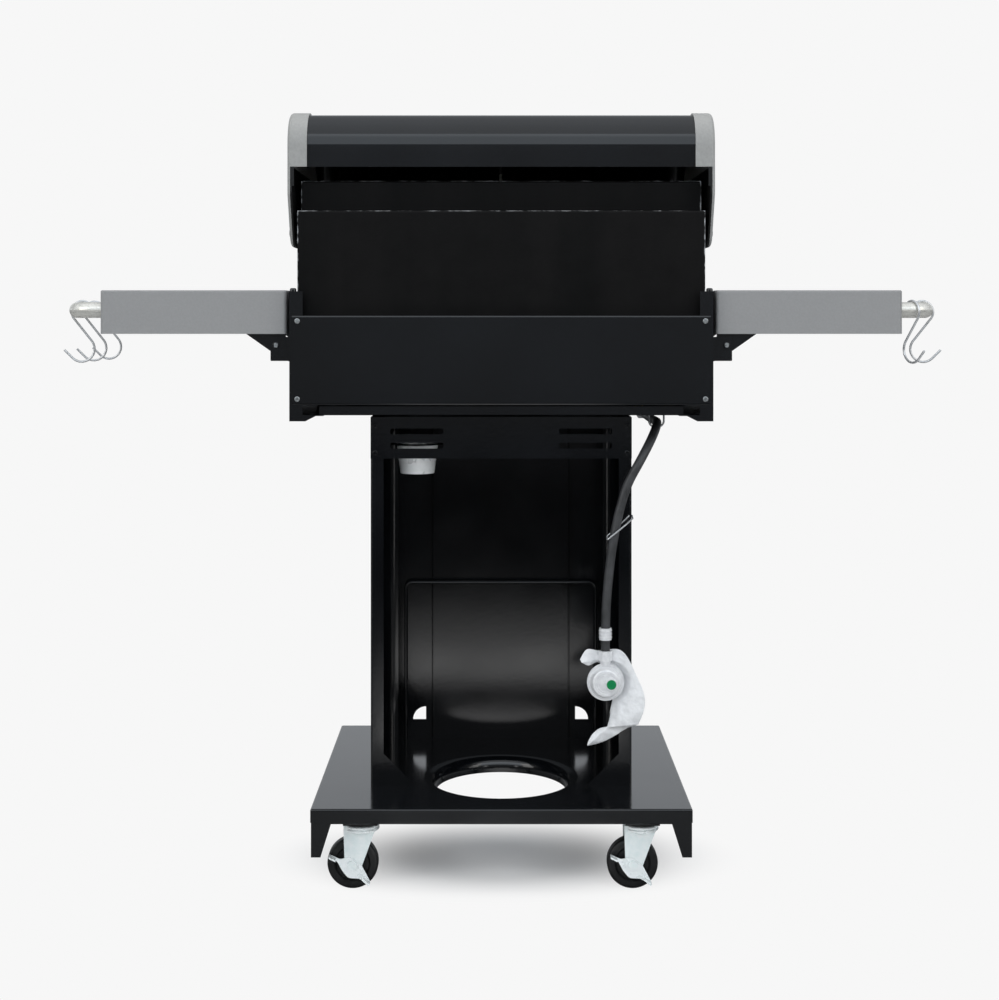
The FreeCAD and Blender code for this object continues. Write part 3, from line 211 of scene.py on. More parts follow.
# %% Gloss black powder coat
finishes["black_powder_coat"] = finish(
    "powder_coat_black", "#08090b", "#0d0f12", mottle=(180, 0, 1), gloss=(90, 0.12, 0.18),
    grain=(6, 0, 1, 1.0), depth_mm=0.02, IOR=1.5, Coat_Weight=0.35, Coat_Roughness=0.12)

# %% [markdown]
# The firebox and its two rear plates wear heat-resistant paint: thinner, rougher and a touch browner than
# the powder coat, with fine grit and faint runs down the sheet. A few millimetres along the plates' side
# and top edges are coloured bare steel in an uneven line: partly chipped paint, partly a painted highlight
# of the edges.

# %% Satin heat-resistant paint
# Widths of the bare-steel edge colour, which is partly chips and partly painted highlight.
side_chip_and_highlight_width = 3.0 * MM
top_chip_and_highlight_width = 1.5 * MM
skin_depth = 4.0 * MM
chip_and_highlight_mm = 14
chip_and_highlight_detail = 5.0


def chips_and_painted_highlight(tree, corner):
    """The share of bare steel, chips and painted highlight, on a plate's rear skin, from the skin's upper
    corner.
    """
    place = add(tree, "ShaderNodeSeparateXYZ", {0: add(tree, "ShaderNodeTexCoord").outputs["Object"]})
    across = add(tree, "ShaderNodeMath", {0: place.outputs["X"]}, operation="ABSOLUTE").outputs[0]
    wear_and_highlight = 0.0
    for where, edge, width in ((across, corner.x, side_chip_and_highlight_width), (place.outputs["Z"], corner.z, top_chip_and_highlight_width)):
        near = add(tree, "ShaderNodeMapRange", {"Value": where, "From Min": edge - width, "From Max": edge})
        wear_and_highlight = add(tree, "ShaderNodeMath", {0: near.outputs["Result"], 1: wear_and_highlight}).outputs[0]
    behind = {0: place.outputs["Y"], 1: corner.y - skin_depth}
    skin = add(tree, "ShaderNodeMath", behind, operation="GREATER_THAN").outputs[0]
    rubbed_and_highlit = add(tree, "ShaderNodeMath", {0: wear_and_highlight, 1: skin}, operation="MULTIPLY").outputs[0]
    patches = blotches(tree, chip_and_highlight_mm, 0.0, 1.0, chip_and_highlight_detail)
    chips_and_highlight = add(tree, "ShaderNodeMath", {0: rubbed_and_highlit, 1: patches}, operation="MULTIPLY").outputs[0]
    bare_steel_and_highlight = add(tree, "ShaderNodeMapRange", {"Value": chips_and_highlight, "From Min": 0.28, "From Max": 0.72})
    return bare_steel_and_highlight.outputs["Result"]


def heat_paint(name, corner=None):
    """Satin black with runs, with chips and a painted highlight near a plate's edges if its rear skin's
    corner is given.
    """
    # The colour #a8aaac is bare steel along the edges: partly chipped paint, partly a painted highlight.
    worn_and_highlit = (lambda tree: chips_and_painted_highlight(tree, corner), "#a8aaac") if corner else None
    return finish(name, "#0a0a0a", "#100f0f", mottle=(60, 0, 1, 4.0, (1, 1, 0.12)), gloss=(35, 0.38, 0.52),
                  grain=(4, 0, 1, 2.0), depth_mm=0.04, over=worn_and_highlit, IOR=1.35, Specular_IOR_Level=0.2)


finishes["black_heat_paint"] = heat_paint("heat_paint_black")

# %% [markdown]
# The lid is porcelain enamel: glass fused on steel. It is the glossiest black on the grill, and the
# pressed sheet under it is not perfectly flat, so reflections waver over a hand's width.

# %% Porcelain enamel
finishes["black_enamel"] = finish(
    "porcelain_enamel_black", "#0a0b0d", "#101215", mottle=(220, 0, 1), gloss=(120, 0.09, 0.14),
    grain=(110, 0, 1, 1.0, (0.35, 1, 1)), depth_mm=0.25, IOR=1.5, Coat_Weight=0.2, Coat_Roughness=0.03)

# %% [markdown]
# Grey paint covers the cast lid caps and the pressed shelves. The castings show a soft sand grain, and
# the shelf powder coat a finer and more even one. Both are satin, so they take the light evenly. The caps
# are coloured black on their inner side, below the edge of the lid sheet, so their colour depends on the
# place: outer skin grey, inner side black.

# %% Grey paint on castings and shelves
cap_skin = 4.5 * MM
cap_inner_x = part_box("lid_cap_right")[1].x - cap_skin
lid_edge_z = 1.082


def cap_inside(tree):
    """1 on the caps' inner side below the edge of the lid sheet, and 0 elsewhere."""
    place = add(tree, "ShaderNodeSeparateXYZ", {0: add(tree, "ShaderNodeTexCoord").outputs["Object"]})
    across = add(tree, "ShaderNodeMath", {0: place.outputs["X"]}, operation="ABSOLUTE").outputs[0]
    within = add(tree, "ShaderNodeMath", {0: across, 1: cap_inner_x}, operation="LESS_THAN").outputs[0]
    under = add(tree, "ShaderNodeMath", {0: place.outputs["Z"], 1: lid_edge_z}, operation="LESS_THAN")
    return add(tree, "ShaderNodeMath", {0: within, 1: under.outputs[0]}, operation="MULTIPLY").outputs[0]


cast_sand = (4.0, 0, 1, 2.0)
fine_speck = (3.0, 0, 1, 2.0)
finishes["grey_cast_paint"] = finish(
    "cast_paint_grey", "#8a8a88", "#929290", mottle=cast_sand, gloss=(50, 0.40, 0.50), grain=cast_sand,
    depth_mm=0.08, over=(cap_inside, "#060606"), IOR=1.48)
finishes["grey_powder_coat"] = finish(
    "powder_coat_grey", "#858585", "#898989", mottle=fine_speck, gloss=(50, 0.37, 0.47), grain=fine_speck,
    depth_mm=0.03, IOR=1.48)

# %% [markdown]
# Bare metals differ in how they were made. Tube and handle are brushed along their length, wire is bright
# plated, pressed caster parts are zinc plated with a bluish cast, the cup is spun aluminium and the
# regulator is a zinc casting, tumbled to a satin grain. A satin skin scatters part of the light, so these
# metals are partly matt, each to its own share.

# %% Brushed stainless steel
brush_streaks = (3, 0, 1, 2.0, (1, 0.03, 1))
finishes["stainless_steel"] = finish(
    "stainless_brushed", "#d2d0c9", "#e6e4dd", mottle=brush_streaks, gloss=(25, 0.26, 0.36),
    grain=brush_streaks, depth_mm=0.01, Metallic=0.6, Anisotropic=0.4)

# %% Plated wire, zinc plate, aluminium, cast zinc and brass


def metal(name, dark, light, mottle_mm, rough, grain_mm, depth_mm, mirror=1.0):
    """A bare metal with a soft mottle, of which a share mirrors and the rest is matt."""
    return finish(name, dark, light, (mottle_mm, 0, 1), (mottle_mm, rough - 0.06, rough + 0.06),
                  (grain_mm, 0, 1, 1.0), depth_mm, Metallic=mirror)


finishes["bright_wire"] = metal("wire_bright_plate", "#c6c7c8", "#dadbdc", 12, 0.20, 5, 0.01, 0.6)
finishes["zinc_plate"] = metal("zinc_plate_clear", "#eaf4f3", "#f7fcfb", 9, 0.34, 3, 0.03, 0.18)
finishes["spun_aluminium"] = metal("aluminium_spun", "#dfe1e1", "#eff0ef", 15, 0.30, 2, 0.02, 0.25)
finishes["zinc_casting"] = metal("zinc_cast_tumbled", "#dcdddf", "#ecedee", 6, 0.42, 2, 0.06, 0.36)
# A brighter copy of the zinc plate for the brake levers and crown beads: a painted highlight.
finishes["lever_plate"] = metal("zinc_plate_painted_highlight", "#f0f6f5", "#fbfefe", 9, 0.30, 3, 0.02, 0.15)
# A near-black copy of the zinc plate for the caster top plates: painted shade under the base.
finishes["plate_black"] = metal("zinc_plate_black", "#161718", "#232425", 9, 0.42, 3, 0.02, 0.3)
finishes["screw_plate"] = metal("zinc_plate_dull", "#9fa3a4", "#b9bdbe", 4, 0.30, 3, 0.02, 0.8)
finishes["plated_brass"] = metal("brass_machined", "#a58f52", "#c4ac6a", 10, 0.32, 3, 0.02)

# %% [markdown]
# The rest is iron, plastic, rubber and paper. Cast iron is pitted and oily. Caster and knob plastics are
# moulded with a fine spark grain. Hose rubber is dull with a grey bloom. The tag is coated paper, white
# and rather dull.

# %% Cast iron, plastics, rubber and paper


def plain(name, dark, light, mottle_mm, rough, grain_mm, depth_mm, **shader):
    """A surface that is not metal, with a soft mottle and a fine grain."""
    return finish(name, dark, light, (mottle_mm, 0, 1), (mottle_mm, rough - 0.07, rough + 0.07),
                  (grain_mm, 0, 1, 2.0), depth_mm, **shader)


finishes["cast_iron"] = plain("cast_iron_seasoned", "#151414", "#242220", 25, 0.5, 2.5, 0.25, IOR=1.5)
finishes["caster_plastic"] = plain("polyolefin_black", "#0e0e0e", "#191919", 14, 0.42, 2.5, 0.05, IOR=1.5)
finishes["knob_plastic"] = plain("phenolic_black", "#0f0f10", "#18181a", 20, 0.3, 2.5, 0.03, IOR=1.55)
finishes["hose_rubber"] = plain("rubber_black", "#2b2c2d", "#404143", 18, 0.46, 3, 0.06, IOR=1.52)
finishes["green_plastic"] = plain("polypropylene_green", "#00743f", "#04824b", 6, 0.35, 2, 0.04, IOR=1.3)
finishes["tag_paper"] = plain("paper_coated", "#d8d9da", "#e8e9ea", 14, 0.55, 7, 0.35, IOR=1.4)

# %% [markdown]
# Every solid keeps its shape and takes the finish that the record names for it. The two rear plates get
# their own copy of the heat paint, because the chips and the painted edge highlight follow each plate's
# edges. The brake levers take a brighter copy of the zinc plate than the forks behind them, a painted
# highlight, and the casters' top plates are coloured dark as painted shade under the base.

# %% Dress the solids
for row in frame["record"]["subparts"]:
    mesh = nodes[row["node"]].data
    mesh.materials.clear()
    mesh.materials.append(finishes[row["material_slot"]])
# Each rear plate's edges get chips and a painted highlight in bare-steel colour.
for plate, rear_face in (("rear_heat_plate", 212.0 * MM), ("upper_rear_plate", 163.0 * MM)):
    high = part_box(plate)[1]
    worn_and_highlit = heat_paint("heat_paint_chipped_highlit_" + plate, Vector((high.x, rear_face, high.z)))
    nodes[plate].data.materials[0] = worn_and_highlit
# The brake levers take the brighter zinc plate: a painted highlight that sets them off from the forks.
for brake in ("rear_right_caster_brake", "rear_left_caster_brake"):
    nodes[brake].data.materials[0] = finishes["lever_plate"]
# The caster top plates are coloured near black: painted shade in the shadow under the base.
nodes["caster_plates"].data.materials[0] = finishes["plate_black"]
gas_hose.data.materials.append(finishes["hose_rubber"])

# %% [markdown]
# The paper tag is a sheet wrapped round the hose above the regulator and crumpled by handling. It could
# be a cloth simulation, but a ribbon is quicker to steer: pairs of edge points listed along its length, a
# smooth line through them, and creases from a noise function. One fold runs down it and a second strip
# starts at the sharp bend near its end. It stays behind the regulator and in front of the cabinet flange.

# %% Paper tag
regulator_drop = 47.0
regulator_spot = hose_points[-1] - Vector((0.0, 0.0, regulator_drop)) * MM
regulator_low, regulator_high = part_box("regulator")
regulator_radius = (regulator_high.x - regulator_low.x) / 2
tag_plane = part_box("paper_tag")[0].y
tag_thickness = 0.3 * MM
tag_strips = [
    [((39, 9, 33), (36, 9, 28)), ((28, 6, 48), (25, 6, 23)), ((10, 1, 45.5), (11, 1, 27)),
     ((-8, 2, 47.5), (-6, 1, 20)), ((-23, 6, 47), (-12, 1, 8)), ((-35, 11, 35), (-14, 1, -5)),
     ((-48.5, 16, 7), (-13, 1, -20)), ((-57, 20, -12), (-11, 2, -32)), ((-60, 22, -30), (-8, 4, -46)),
     ((-56.5, 21, -48), (-7, 7, -56)), ((-50, 17, -65), (-3, 9, -70))],
    [((-50, 17, -65), (-3, 9, -70)), ((-35, 6, -72.5), (9, 5, -74)), ((-16, 3, -85), (19, 9, -81)),
     ((5, 5, -95), (25, 12, -89)), ((26, 10, -99), (28, 13, -97))],
]
rows_per_span = 8
columns = 30
fold_share = 0.72
fold_height = 4.0
flange_gap = 0.4
regulator_gap = 0.6
rim_room = 1.0
rim_slope = 1.3
print("tag strips", len(tag_strips))

# %% Line and creases of the paper
fold_width = 21.0
fold_swing = 2.6
crease_width = 10.0
crease_swing = 1.5
crease_shift = Vector((3, 7, 1))
ridge_level = 0.8


def along(values, t):
    """A smooth point between listed points, the curve passing through each of them."""
    i = min(int(t), len(values) - 2)
    u = t - i
    a, b, c, d = [Vector(values[max(0, min(len(values) - 1, i + k))]) for k in (-1, 0, 1, 2)]
    rise = 2 * a - 5 * b + 4 * c - d
    bend = 3 * b - a - 3 * c + d
    return 0.5 * (2 * b + (c - a) * u + rise * u ** 2 + bend * u ** 3)


def creased(place):
    """The height of crumples at a place on the paper, in millimetres."""
    fold = 1.0 - abs(noise.noise(place / fold_width))
    crease = 1.0 - abs(noise.noise(place / crease_width + crease_shift))
    return fold_swing * (fold - ridge_level) + crease_swing * (crease - ridge_level)


print("highest crumple %.2f mm" % ((fold_swing + crease_swing) * (1.0 - ridge_level)))

# %% Lay the paper
tag_mesh = bpy.data.meshes.new("crumpled_tag")
shape = bmesh.new()
grid = []
for edges in tag_strips:
    for row in range(rows_per_span * (len(edges) - 1) + 1):
        t = row / rows_per_span
        outer = along([pair[0] for pair in edges], t)
        inner = along([pair[1] for pair in edges], t)
        line = []
        for column in range(columns + 1):
            share = column / columns
            place = outer.lerp(inner, share)
            fold = fold_height * min(share / fold_share, (1 - share) / (1 - fold_share))
            place.y += fold + creased(place)
            past = math.hypot(place.x, place.z) - regulator_radius / MM - rim_room
            ceiling = regulator_gap + max(0.0, past) * rim_slope
            place.y = max(flange_gap, min(place.y, ceiling))
            line.append(shape.verts.new((regulator_spot.x + place.x * MM, tag_plane + place.y * MM,
                                         regulator_spot.z + place.z * MM)))
        grid.append(line)
for first, second in zip(grid, grid[1:]):
    for column in range(columns):
        shape.faces.new((first[column], first[column + 1], second[column + 1], second[column]))
for face in shape.faces:
    face.smooth = True
bmesh.ops.remove_doubles(shape, verts=shape.verts, dist=1e-7)
shape.to_mesh(tag_mesh)
shape.free()
tag = bpy.data.objects.new("crumpled_tag", tag_mesh)
scene.collection.objects.link(tag)
print("tag points", len(tag_mesh.vertices))

# %% Give the paper its thickness


def settled(thing):
    """The object with its modifiers worked into its mesh and taken off."""
    mesh = bpy.data.meshes.new_from_object(thing.evaluated_get(bpy.context.evaluated_depsgraph_get()))
    thing.modifiers.clear()
    thing.data = mesh
    return thing


card = tag.modifiers.new("thickness", "SOLIDIFY")
card.thickness = tag_thickness
card.offset = 0.0
settled(tag)
tag.data.materials.append(finishes["tag_paper"])
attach(tag, "cart")
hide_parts("paper_tag")
print("tag faces", len(tag.data.polygons))

# %% [markdown]
# The screws are plain turned heads in the solid model. Each driver recess is a cross, and a row of equal
# crosses is work for Geometry Nodes: one cross is built from two boxes, instanced on a point at each
# head, given its own turn as if driven by hand, and cut out of a copy of the fasteners. The shelf pivot
# bolts have black heads with a bright hexagon socket.

# %% A tree of crosses


def geometry_tree(name, sizes):
    """An empty Geometry Nodes tree with a geometry input and output and named sizes."""
    tree = bpy.data.node_groups.new(name, "GeometryNodeTree")
    tree.interface.new_socket("Geometry", in_out="INPUT", socket_type="NodeSocketGeometry")
    tree.interface.new_socket("Geometry", in_out="OUTPUT", socket_type="NodeSocketGeometry")
    for size, kind in sizes.items():
        tree.interface.new_socket(size, in_out="INPUT", socket_type="NodeSocket" + kind)
    return tree, tree.nodes.new("NodeGroupInput").outputs


def grown(name, tree, sizes, points):
    """A new object that is a tree's result on loose points, as a plain mesh."""
    mesh = bpy.data.meshes.new(name)
    mesh.from_pydata([tuple(point) for point in points], [], [])
    thing = bpy.data.objects.new(name, mesh)
    scene.collection.objects.link(thing)
    modifier = thing.modifiers.new("nodes", "NODES")
    modifier.node_group = tree
    for socket in tree.interface.items_tree:
        if socket.name in sizes:
            modifier[socket.identifier] = sizes[socket.name]
    return settled(thing)


largest_turn = 1.5
turn_seed = 4
cross_inputs = {"Length": "Float", "Width": "Float", "Depth": "Float", "Tilt": "Rotation",
                "Material": "Material"}
tree, given = geometry_tree("cross_recesses", cross_inputs)
cross = add(tree, "GeometryNodeMeshBoolean", operation="UNION")
for first, second in (("Length", "Width"), ("Width", "Length")):
    size = add(tree, "ShaderNodeCombineXYZ", {"X": given[first], "Y": given[second], "Z": given["Depth"]})
    bar = add(tree, "GeometryNodeMeshCube", {"Size": size.outputs[0]})
    tree.links.new(bar.outputs["Mesh"], cross.inputs["Mesh 2"])
turn = add(tree, "FunctionNodeRandomValue", {3: largest_turn, "Seed": turn_seed}, data_type="FLOAT")
spin = add(tree, "FunctionNodeAxisAngleToRotation", {"Axis": (0.0, 0.0, 1.0), "Angle": turn.outputs[1]})
aimed = add(tree, "FunctionNodeRotateRotation", {"Rotation": given["Tilt"], "Rotate By": spin.outputs[0]},
            rotation_space="LOCAL")
rows = add(tree, "GeometryNodeInstanceOnPoints",
           {"Points": given["Geometry"], "Instance": cross.outputs["Mesh"], "Rotation": aimed.outputs[0]})
whole = add(tree, "GeometryNodeRealizeInstances", {"Geometry": rows.outputs[0]})
painted = add(tree, "GeometryNodeSetMaterial",
              {"Geometry": whole.outputs[0], "Material": given["Material"]})
add(tree, "NodeGroupOutput", {"Geometry": painted.outputs[0]})
cross_tree = tree
print("tree", tree.name, "with", len(tree.nodes), "nodes")

# %% Crosses and hexagon sockets to cut
rail_low, rail_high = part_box("rear_vent_rail")
cover_low, cover_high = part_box("rear_cover")
body_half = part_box("side_panel_right")[1].x
head_height = 2.2 * MM
rail_heights = (rail_low.z + 9 * MM, rail_high.z - 13 * MM)
cover_heights = (cover_low.z + 9.5 * MM, cover_high.z - 8.5 * MM)
rail_screw_x = rail_high.x - 7 * MM
cover_screw_x = body_half - 12 * MM
driven = []
for side in (1, -1):
    driven += [(side * rail_screw_x, rail_high.y + head_height, z) for z in rail_heights]
    driven += [(side * cover_screw_x, cover_high.y + head_height, z) for z in cover_heights]
cross_sizes = {"Length": 4.6 * MM, "Width": 1.1 * MM, "Depth": 2.6 * MM, "Tilt": (-math.pi / 2, 0.0, 0.0),
               "Material": finishes["screw_plate"]}
crosses = grown("crosses", cross_tree, cross_sizes, driven)

bolt_head_radius = 6.0 * MM
bolt_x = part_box("fasteners")[1].x - bolt_head_radius
bolt_z = 811.0 * MM
bolt_ends = (209.0 * MM, -184.0 * MM)
socket_radius = 2.8 * MM
socket_depth = 1.6 * MM
shape = bmesh.new()
shape.from_mesh(crosses.data)
for side in (1, -1):
    for y in bolt_ends:
        place = Matrix.Translation((side * bolt_x, y, bolt_z)) @ Matrix.Rotation(math.pi / 2, 4, "X")
        bmesh.ops.create_cone(shape, cap_ends=True, segments=6, radius1=socket_radius,
                              radius2=socket_radius, depth=2 * socket_depth, matrix=place)
shape.to_mesh(crosses.data)
shape.free()
print("recesses", len(driven), "sockets", 2 * len(bolt_ends))

# %% Cut the recesses into a copy of the fasteners
screw_mesh = nodes["fasteners"].data.copy()
shape = bmesh.new()
shape.from_mesh(screw_mesh)
bmesh.ops.remove_doubles(shape, verts=shape.verts, dist=1e-6)
shape.to_mesh(screw_mesh)
shape.free()
screws = bpy.data.objects.new("driven_fasteners", screw_mesh)
scene.collection.objects.link(screws)
cut = screws.modifiers.new("recess", "BOOLEAN")
cut.operation = "DIFFERENCE"
cut.solver = "EXACT"
cut.object = crosses
settled(screws)
bpy.data.objects.remove(crosses)
screws.data.materials.clear()
screws.data.materials.append(finishes["screw_plate"])
screws.data.materials.append(finishes["black_powder_coat"])
face_slack = 0.2 * socket_depth
socket_reach = 1.05 * socket_radius
for face in screws.data.polygons:
    middle = face.center
    black = middle.z > cover_high.z or middle.z < rail_high.z
    if abs(middle.x) > body_half:
        out = math.hypot(abs(middle.x) - bolt_x, middle.z - bolt_z)
        on_head = min(abs(middle.y - y) for y in bolt_ends) < face_slack
        black = black or on_head or out > socket_reach
    face.material_index = 1 if black else 0
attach(screws, "cart")
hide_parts("fasteners")
print("fastener faces", len(screws.data.polygons))

# %% [markdown]
# The regulator and its crimp sleeve are turned and pressed parts, so fine rings run round them. One small
# tree makes a ring, repeats it along its axis and lets each next one grow, which serves both.

# %% A tree of rings
ring_inputs = {"Radius": "Float", "Growth": "Float", "Wire": "Float", "Step": "Float", "Count": "Int",
               "Material": "Material"}
tree, given = geometry_tree("turned_rings", ring_inputs)
step = add(tree, "ShaderNodeCombineXYZ", {"Z": given["Step"]})
line = add(tree, "GeometryNodeMeshLine", {"Count": given["Count"], "Offset": step.outputs[0]},
           mode="OFFSET")
circle = add(tree, "GeometryNodeCurvePrimitiveCircle", {"Resolution": 64, "Radius": given["Radius"]})
wire = add(tree, "GeometryNodeCurvePrimitiveCircle", {"Resolution": 10, "Radius": given["Wire"]})
number = add(tree, "GeometryNodeInputIndex").outputs[0]
grow = add(tree, "ShaderNodeMath", {0: number, 1: given["Growth"], 2: 1.0}, operation="MULTIPLY_ADD")
flat = add(tree, "ShaderNodeCombineXYZ", {"X": grow.outputs[0], "Y": grow.outputs[0], "Z": 1.0})
rows = add(tree, "GeometryNodeInstanceOnPoints",
           {"Points": line.outputs[0], "Instance": circle.outputs[0], "Scale": flat.outputs[0]})
loose = add(tree, "GeometryNodeRealizeInstances", {"Geometry": rows.outputs[0]})
solid = add(tree, "GeometryNodeCurveToMesh", {"Curve": loose.outputs[0], "Profile Curve": wire.outputs[0]})
painted = add(tree, "GeometryNodeSetMaterial",
              {"Geometry": solid.outputs[0], "Material": given["Material"]})
add(tree, "NodeGroupOutput", {"Geometry": painted.outputs[0]})
ring_tree = tree
print("tree", tree.name, "with", len(tree.nodes), "nodes")

# %% Rings on the sleeve and the regulator


def rings(name, sizes, place, towards, body="cart", slot="zinc_casting"):
    """Rings from the tree, turned from +Z to a direction, moved to a place and fixed to a body."""
    thing = grown(name, ring_tree, dict(sizes, Material=finishes[slot]), [(0.0, 0.0, 0.0)])
    turn = Vector((0, 0, 1)).rotation_difference(Vector(towards)).to_matrix().to_4x4()
    thing.data.transform(Matrix.Translation(place) @ turn)
    for face in thing.data.polygons:
        face.use_smooth = True
    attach(thing, body)
    print(name, len(thing.data.polygons))
    return thing


crimp_rise = 21.0
first_crimp = hose_points[-1] + Vector((0.0, 0.0, crimp_rise)) * MM
crimp_sizes = {"Radius": 9.5 * MM, "Growth": 0.0, "Wire": 0.9 * MM, "Step": 5.0 * MM, "Count": 3}
crimps = rings("sleeve_crimps", crimp_sizes, first_crimp, (0, 0, 1))
ridge_depth = 2.9 * MM
ridge_place = Vector((regulator_spot.x, regulator_high.y - ridge_depth, regulator_spot.z))
ridge_sizes = {"Radius": 13.0 * MM, "Growth": 0.24, "Wire": 0.5 * MM, "Step": 0.0, "Count": 2}
ridges = rings("regulator_ridges", ridge_sizes, ridge_place, (0, 1, 0))

# %% [markdown]
# Each caster's crown is a pressed race. Two beads run round it under a black ring, from the same tree,
# and they turn with the fork. The beads take the brighter copy of the zinc plate, a painted highlight, and
# the black ring is painted shade in the gap under the base.

# %% Rings on the caster crowns
bead_sizes = {"Radius": 24.2 * MM, "Growth": 0.0, "Wire": 2.3 * MM, "Step": 4.6 * MM, "Count": 2}
shade_ring_sizes = {"Radius": 23.2 * MM, "Growth": 0.0, "Wire": 1.9 * MM, "Step": 0.0, "Count": 1}
bead_drop = Vector((0, 0, 7.0 * MM))
shade_ring_rise = Vector((0, 0, 2.0 * MM))
for joint in frame["record"]["behaviour"]["joints"]:
    if joint["name"].endswith("_swivel"):
        caster = joint["child"]
        pin = Vector((joint["pos_m"][0], joint["pos_m"][1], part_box(caster + "_fork")[1].z))
        # The beads take the brighter zinc plate, a painted highlight, and the black ring is painted shade.
        beads = rings(caster + "_beads", bead_sizes, pin - bead_drop, (0, 0, 1), caster, "zinc_plate")
        beads.data.materials[0] = finishes["lever_plate"]
        rings(caster + "_shade_ring", shade_ring_sizes, pin + shade_ring_rise, (0, 0, 1), caster, "caster_plastic")

# %% [markdown]
# On the lid's far side the thermometer has a dial: a pale disc, a ring of ticks and a needle, without
# figures. The ticks are equal, so a tree moves one bar out to its radius and repeats it round the middle.
# The same tree with a count of one makes the needle, and the white mark that shows where each control
# knob points.

# %% A tree of bars round a middle
bar_inputs = {"Length": "Float", "Width": "Float", "Depth": "Float", "Radius": "Float", "Start": "Float",
              "Step": "Float", "Count": "Int", "Material": "Material"}
tree, given = geometry_tree("bars_round_a_middle", bar_inputs)
size = add(tree, "ShaderNodeCombineXYZ", {"X": given["Length"], "Y": given["Width"], "Z": given["Depth"]})
bar = add(tree, "GeometryNodeMeshCube", {"Size": size.outputs[0]})
away = add(tree, "ShaderNodeCombineXYZ", {"X": given["Radius"]})
moved = add(tree, "GeometryNodeTransform",
            {"Geometry": bar.outputs["Mesh"], "Translation": away.outputs[0]})
line = add(tree, "GeometryNodeMeshLine", {"Count": given["Count"], "Offset": (0.0, 0.0, 0.0)},
           mode="OFFSET")
number = add(tree, "GeometryNodeInputIndex").outputs[0]
angle = add(tree, "ShaderNodeMath", {0: number, 1: given["Step"], 2: given["Start"]},
            operation="MULTIPLY_ADD")
spin = add(tree, "FunctionNodeAxisAngleToRotation", {"Axis": (0.0, 0.0, 1.0), "Angle": angle.outputs[0]})
rows = add(tree, "GeometryNodeInstanceOnPoints",
           {"Points": line.outputs[0], "Instance": moved.outputs[0], "Rotation": spin.outputs[0]})
whole = add(tree, "GeometryNodeRealizeInstances", {"Geometry": rows.outputs[0]})
painted = add(tree, "GeometryNodeSetMaterial",
              {"Geometry": whole.outputs[0], "Material": given["Material"]})
add(tree, "NodeGroupOutput", {"Geometry": painted.outputs[0]})
bar_tree = tree
print("tree", tree.name, "with", len(tree.nodes), "nodes")

# %% Thermometer dial


def marks(name, body, sizes, ink, place, normal):
    """Bars from the tree, laid on a face with its normal at a place, the first angle counted from level."""
    thing = grown(name, bar_tree, dict(sizes, Material=ink), [(0.0, 0.0, 0.0)])
    up = Vector(normal).normalized()
    level = Vector((1.0, 0.0, 0.0))
    turn = Matrix((level, up.cross(level), up)).transposed().to_4x4()
    thing.data.transform(Matrix.Translation(place) @ turn)
    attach(thing, body)
    print(name, len(thing.data.polygons))


dial_white = plain("printed_white", "#e6e4de", "#efede8", 8, 0.5, 3, 0.01, IOR=1.45)
needle_red = plain("printed_red", "#a01818", "#b02020", 8, 0.45, 3, 0.01, IOR=1.45)
dial_normal = Vector((0.0, -0.609, 0.793))
dial_height = 7.5
lid_spot = Vector((0.0, -137.0, 1099.1)) * MM
dial_middle = lid_spot + dial_normal * dial_height * MM
dial_radius = 22.0 * MM
dial_depth = 0.4 * MM
face_rise, tick_rise, needle_rise = (dial_normal * rise * MM for rise in (0.25, 0.5, 0.8))

face_mesh = bpy.data.meshes.new("dial_face")
shape = bmesh.new()
bmesh.ops.create_cone(shape, cap_ends=True, segments=64, radius1=dial_radius, radius2=dial_radius,
                      depth=dial_depth)
shape.to_mesh(face_mesh)
shape.free()
tilt = Vector((0, 0, 1)).rotation_difference(dial_normal).to_matrix().to_4x4()
face_mesh.transform(Matrix.Translation(dial_middle + face_rise) @ tilt)
face_mesh.materials.append(dial_white)
dial_face = bpy.data.objects.new("dial_face", face_mesh)
scene.collection.objects.link(dial_face)
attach(dial_face, "lid")
print("dial face", len(face_mesh.polygons))

# %% Ticks and needle
tick_sizes = {"Length": 4.0 * MM, "Width": 0.7 * MM, "Depth": 0.3 * MM, "Radius": 18.5 * MM,
              "Start": math.radians(-45), "Step": math.radians(13.5), "Count": 21}
marks("dial_ticks", "lid", tick_sizes, finishes["knob_plastic"], dial_middle + tick_rise, dial_normal)
needle_sizes = {"Length": 17.0 * MM, "Width": 1.0 * MM, "Depth": 0.4 * MM, "Radius": 6.0 * MM,
                "Start": math.radians(222), "Step": 0.0, "Count": 1}
marks("dial_needle", "lid", needle_sizes, needle_red, dial_middle + needle_rise, dial_normal)

# %% Knob marks
knob_mark_sizes = {"Length": 10.0 * MM, "Width": 1.8 * MM, "Depth": 0.4 * MM, "Radius": 13.0 * MM,
                   "Start": math.radians(90), "Step": 0.0, "Count": 1}
mark_rise = 0.05 * MM
for knob in ("knob_1", "knob_2", "knob_3", "knob_4"):
    low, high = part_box(knob)
    tip = Vector(((low.x + high.x) / 2, low.y - mark_rise, (low.z + high.z) / 2))
    mark = knob.replace("knob", "knob_mark")
    marks(mark, knob, knob_mark_sizes, dial_white, tip, (0, -1, 0))

# %% [markdown]
# The room is a white studio: a pale floor that catches the soft shadow and fades into a white background.
# Black gloss shows what it mirrors, so each lamp says whether it lights, is mirrored, or both, and the
# world has its own picture for mirrored rays: pale paper low beyond the grill, a bright ceiling over the
# camera, and dark at camera height.

# %% Floor
backdrop = "#f7f7f7"
floor_radius = 9.0
shadow_middle = (0.0, 0.095, 0.0)
shadow_half = (0.36, 0.19, 1.0)

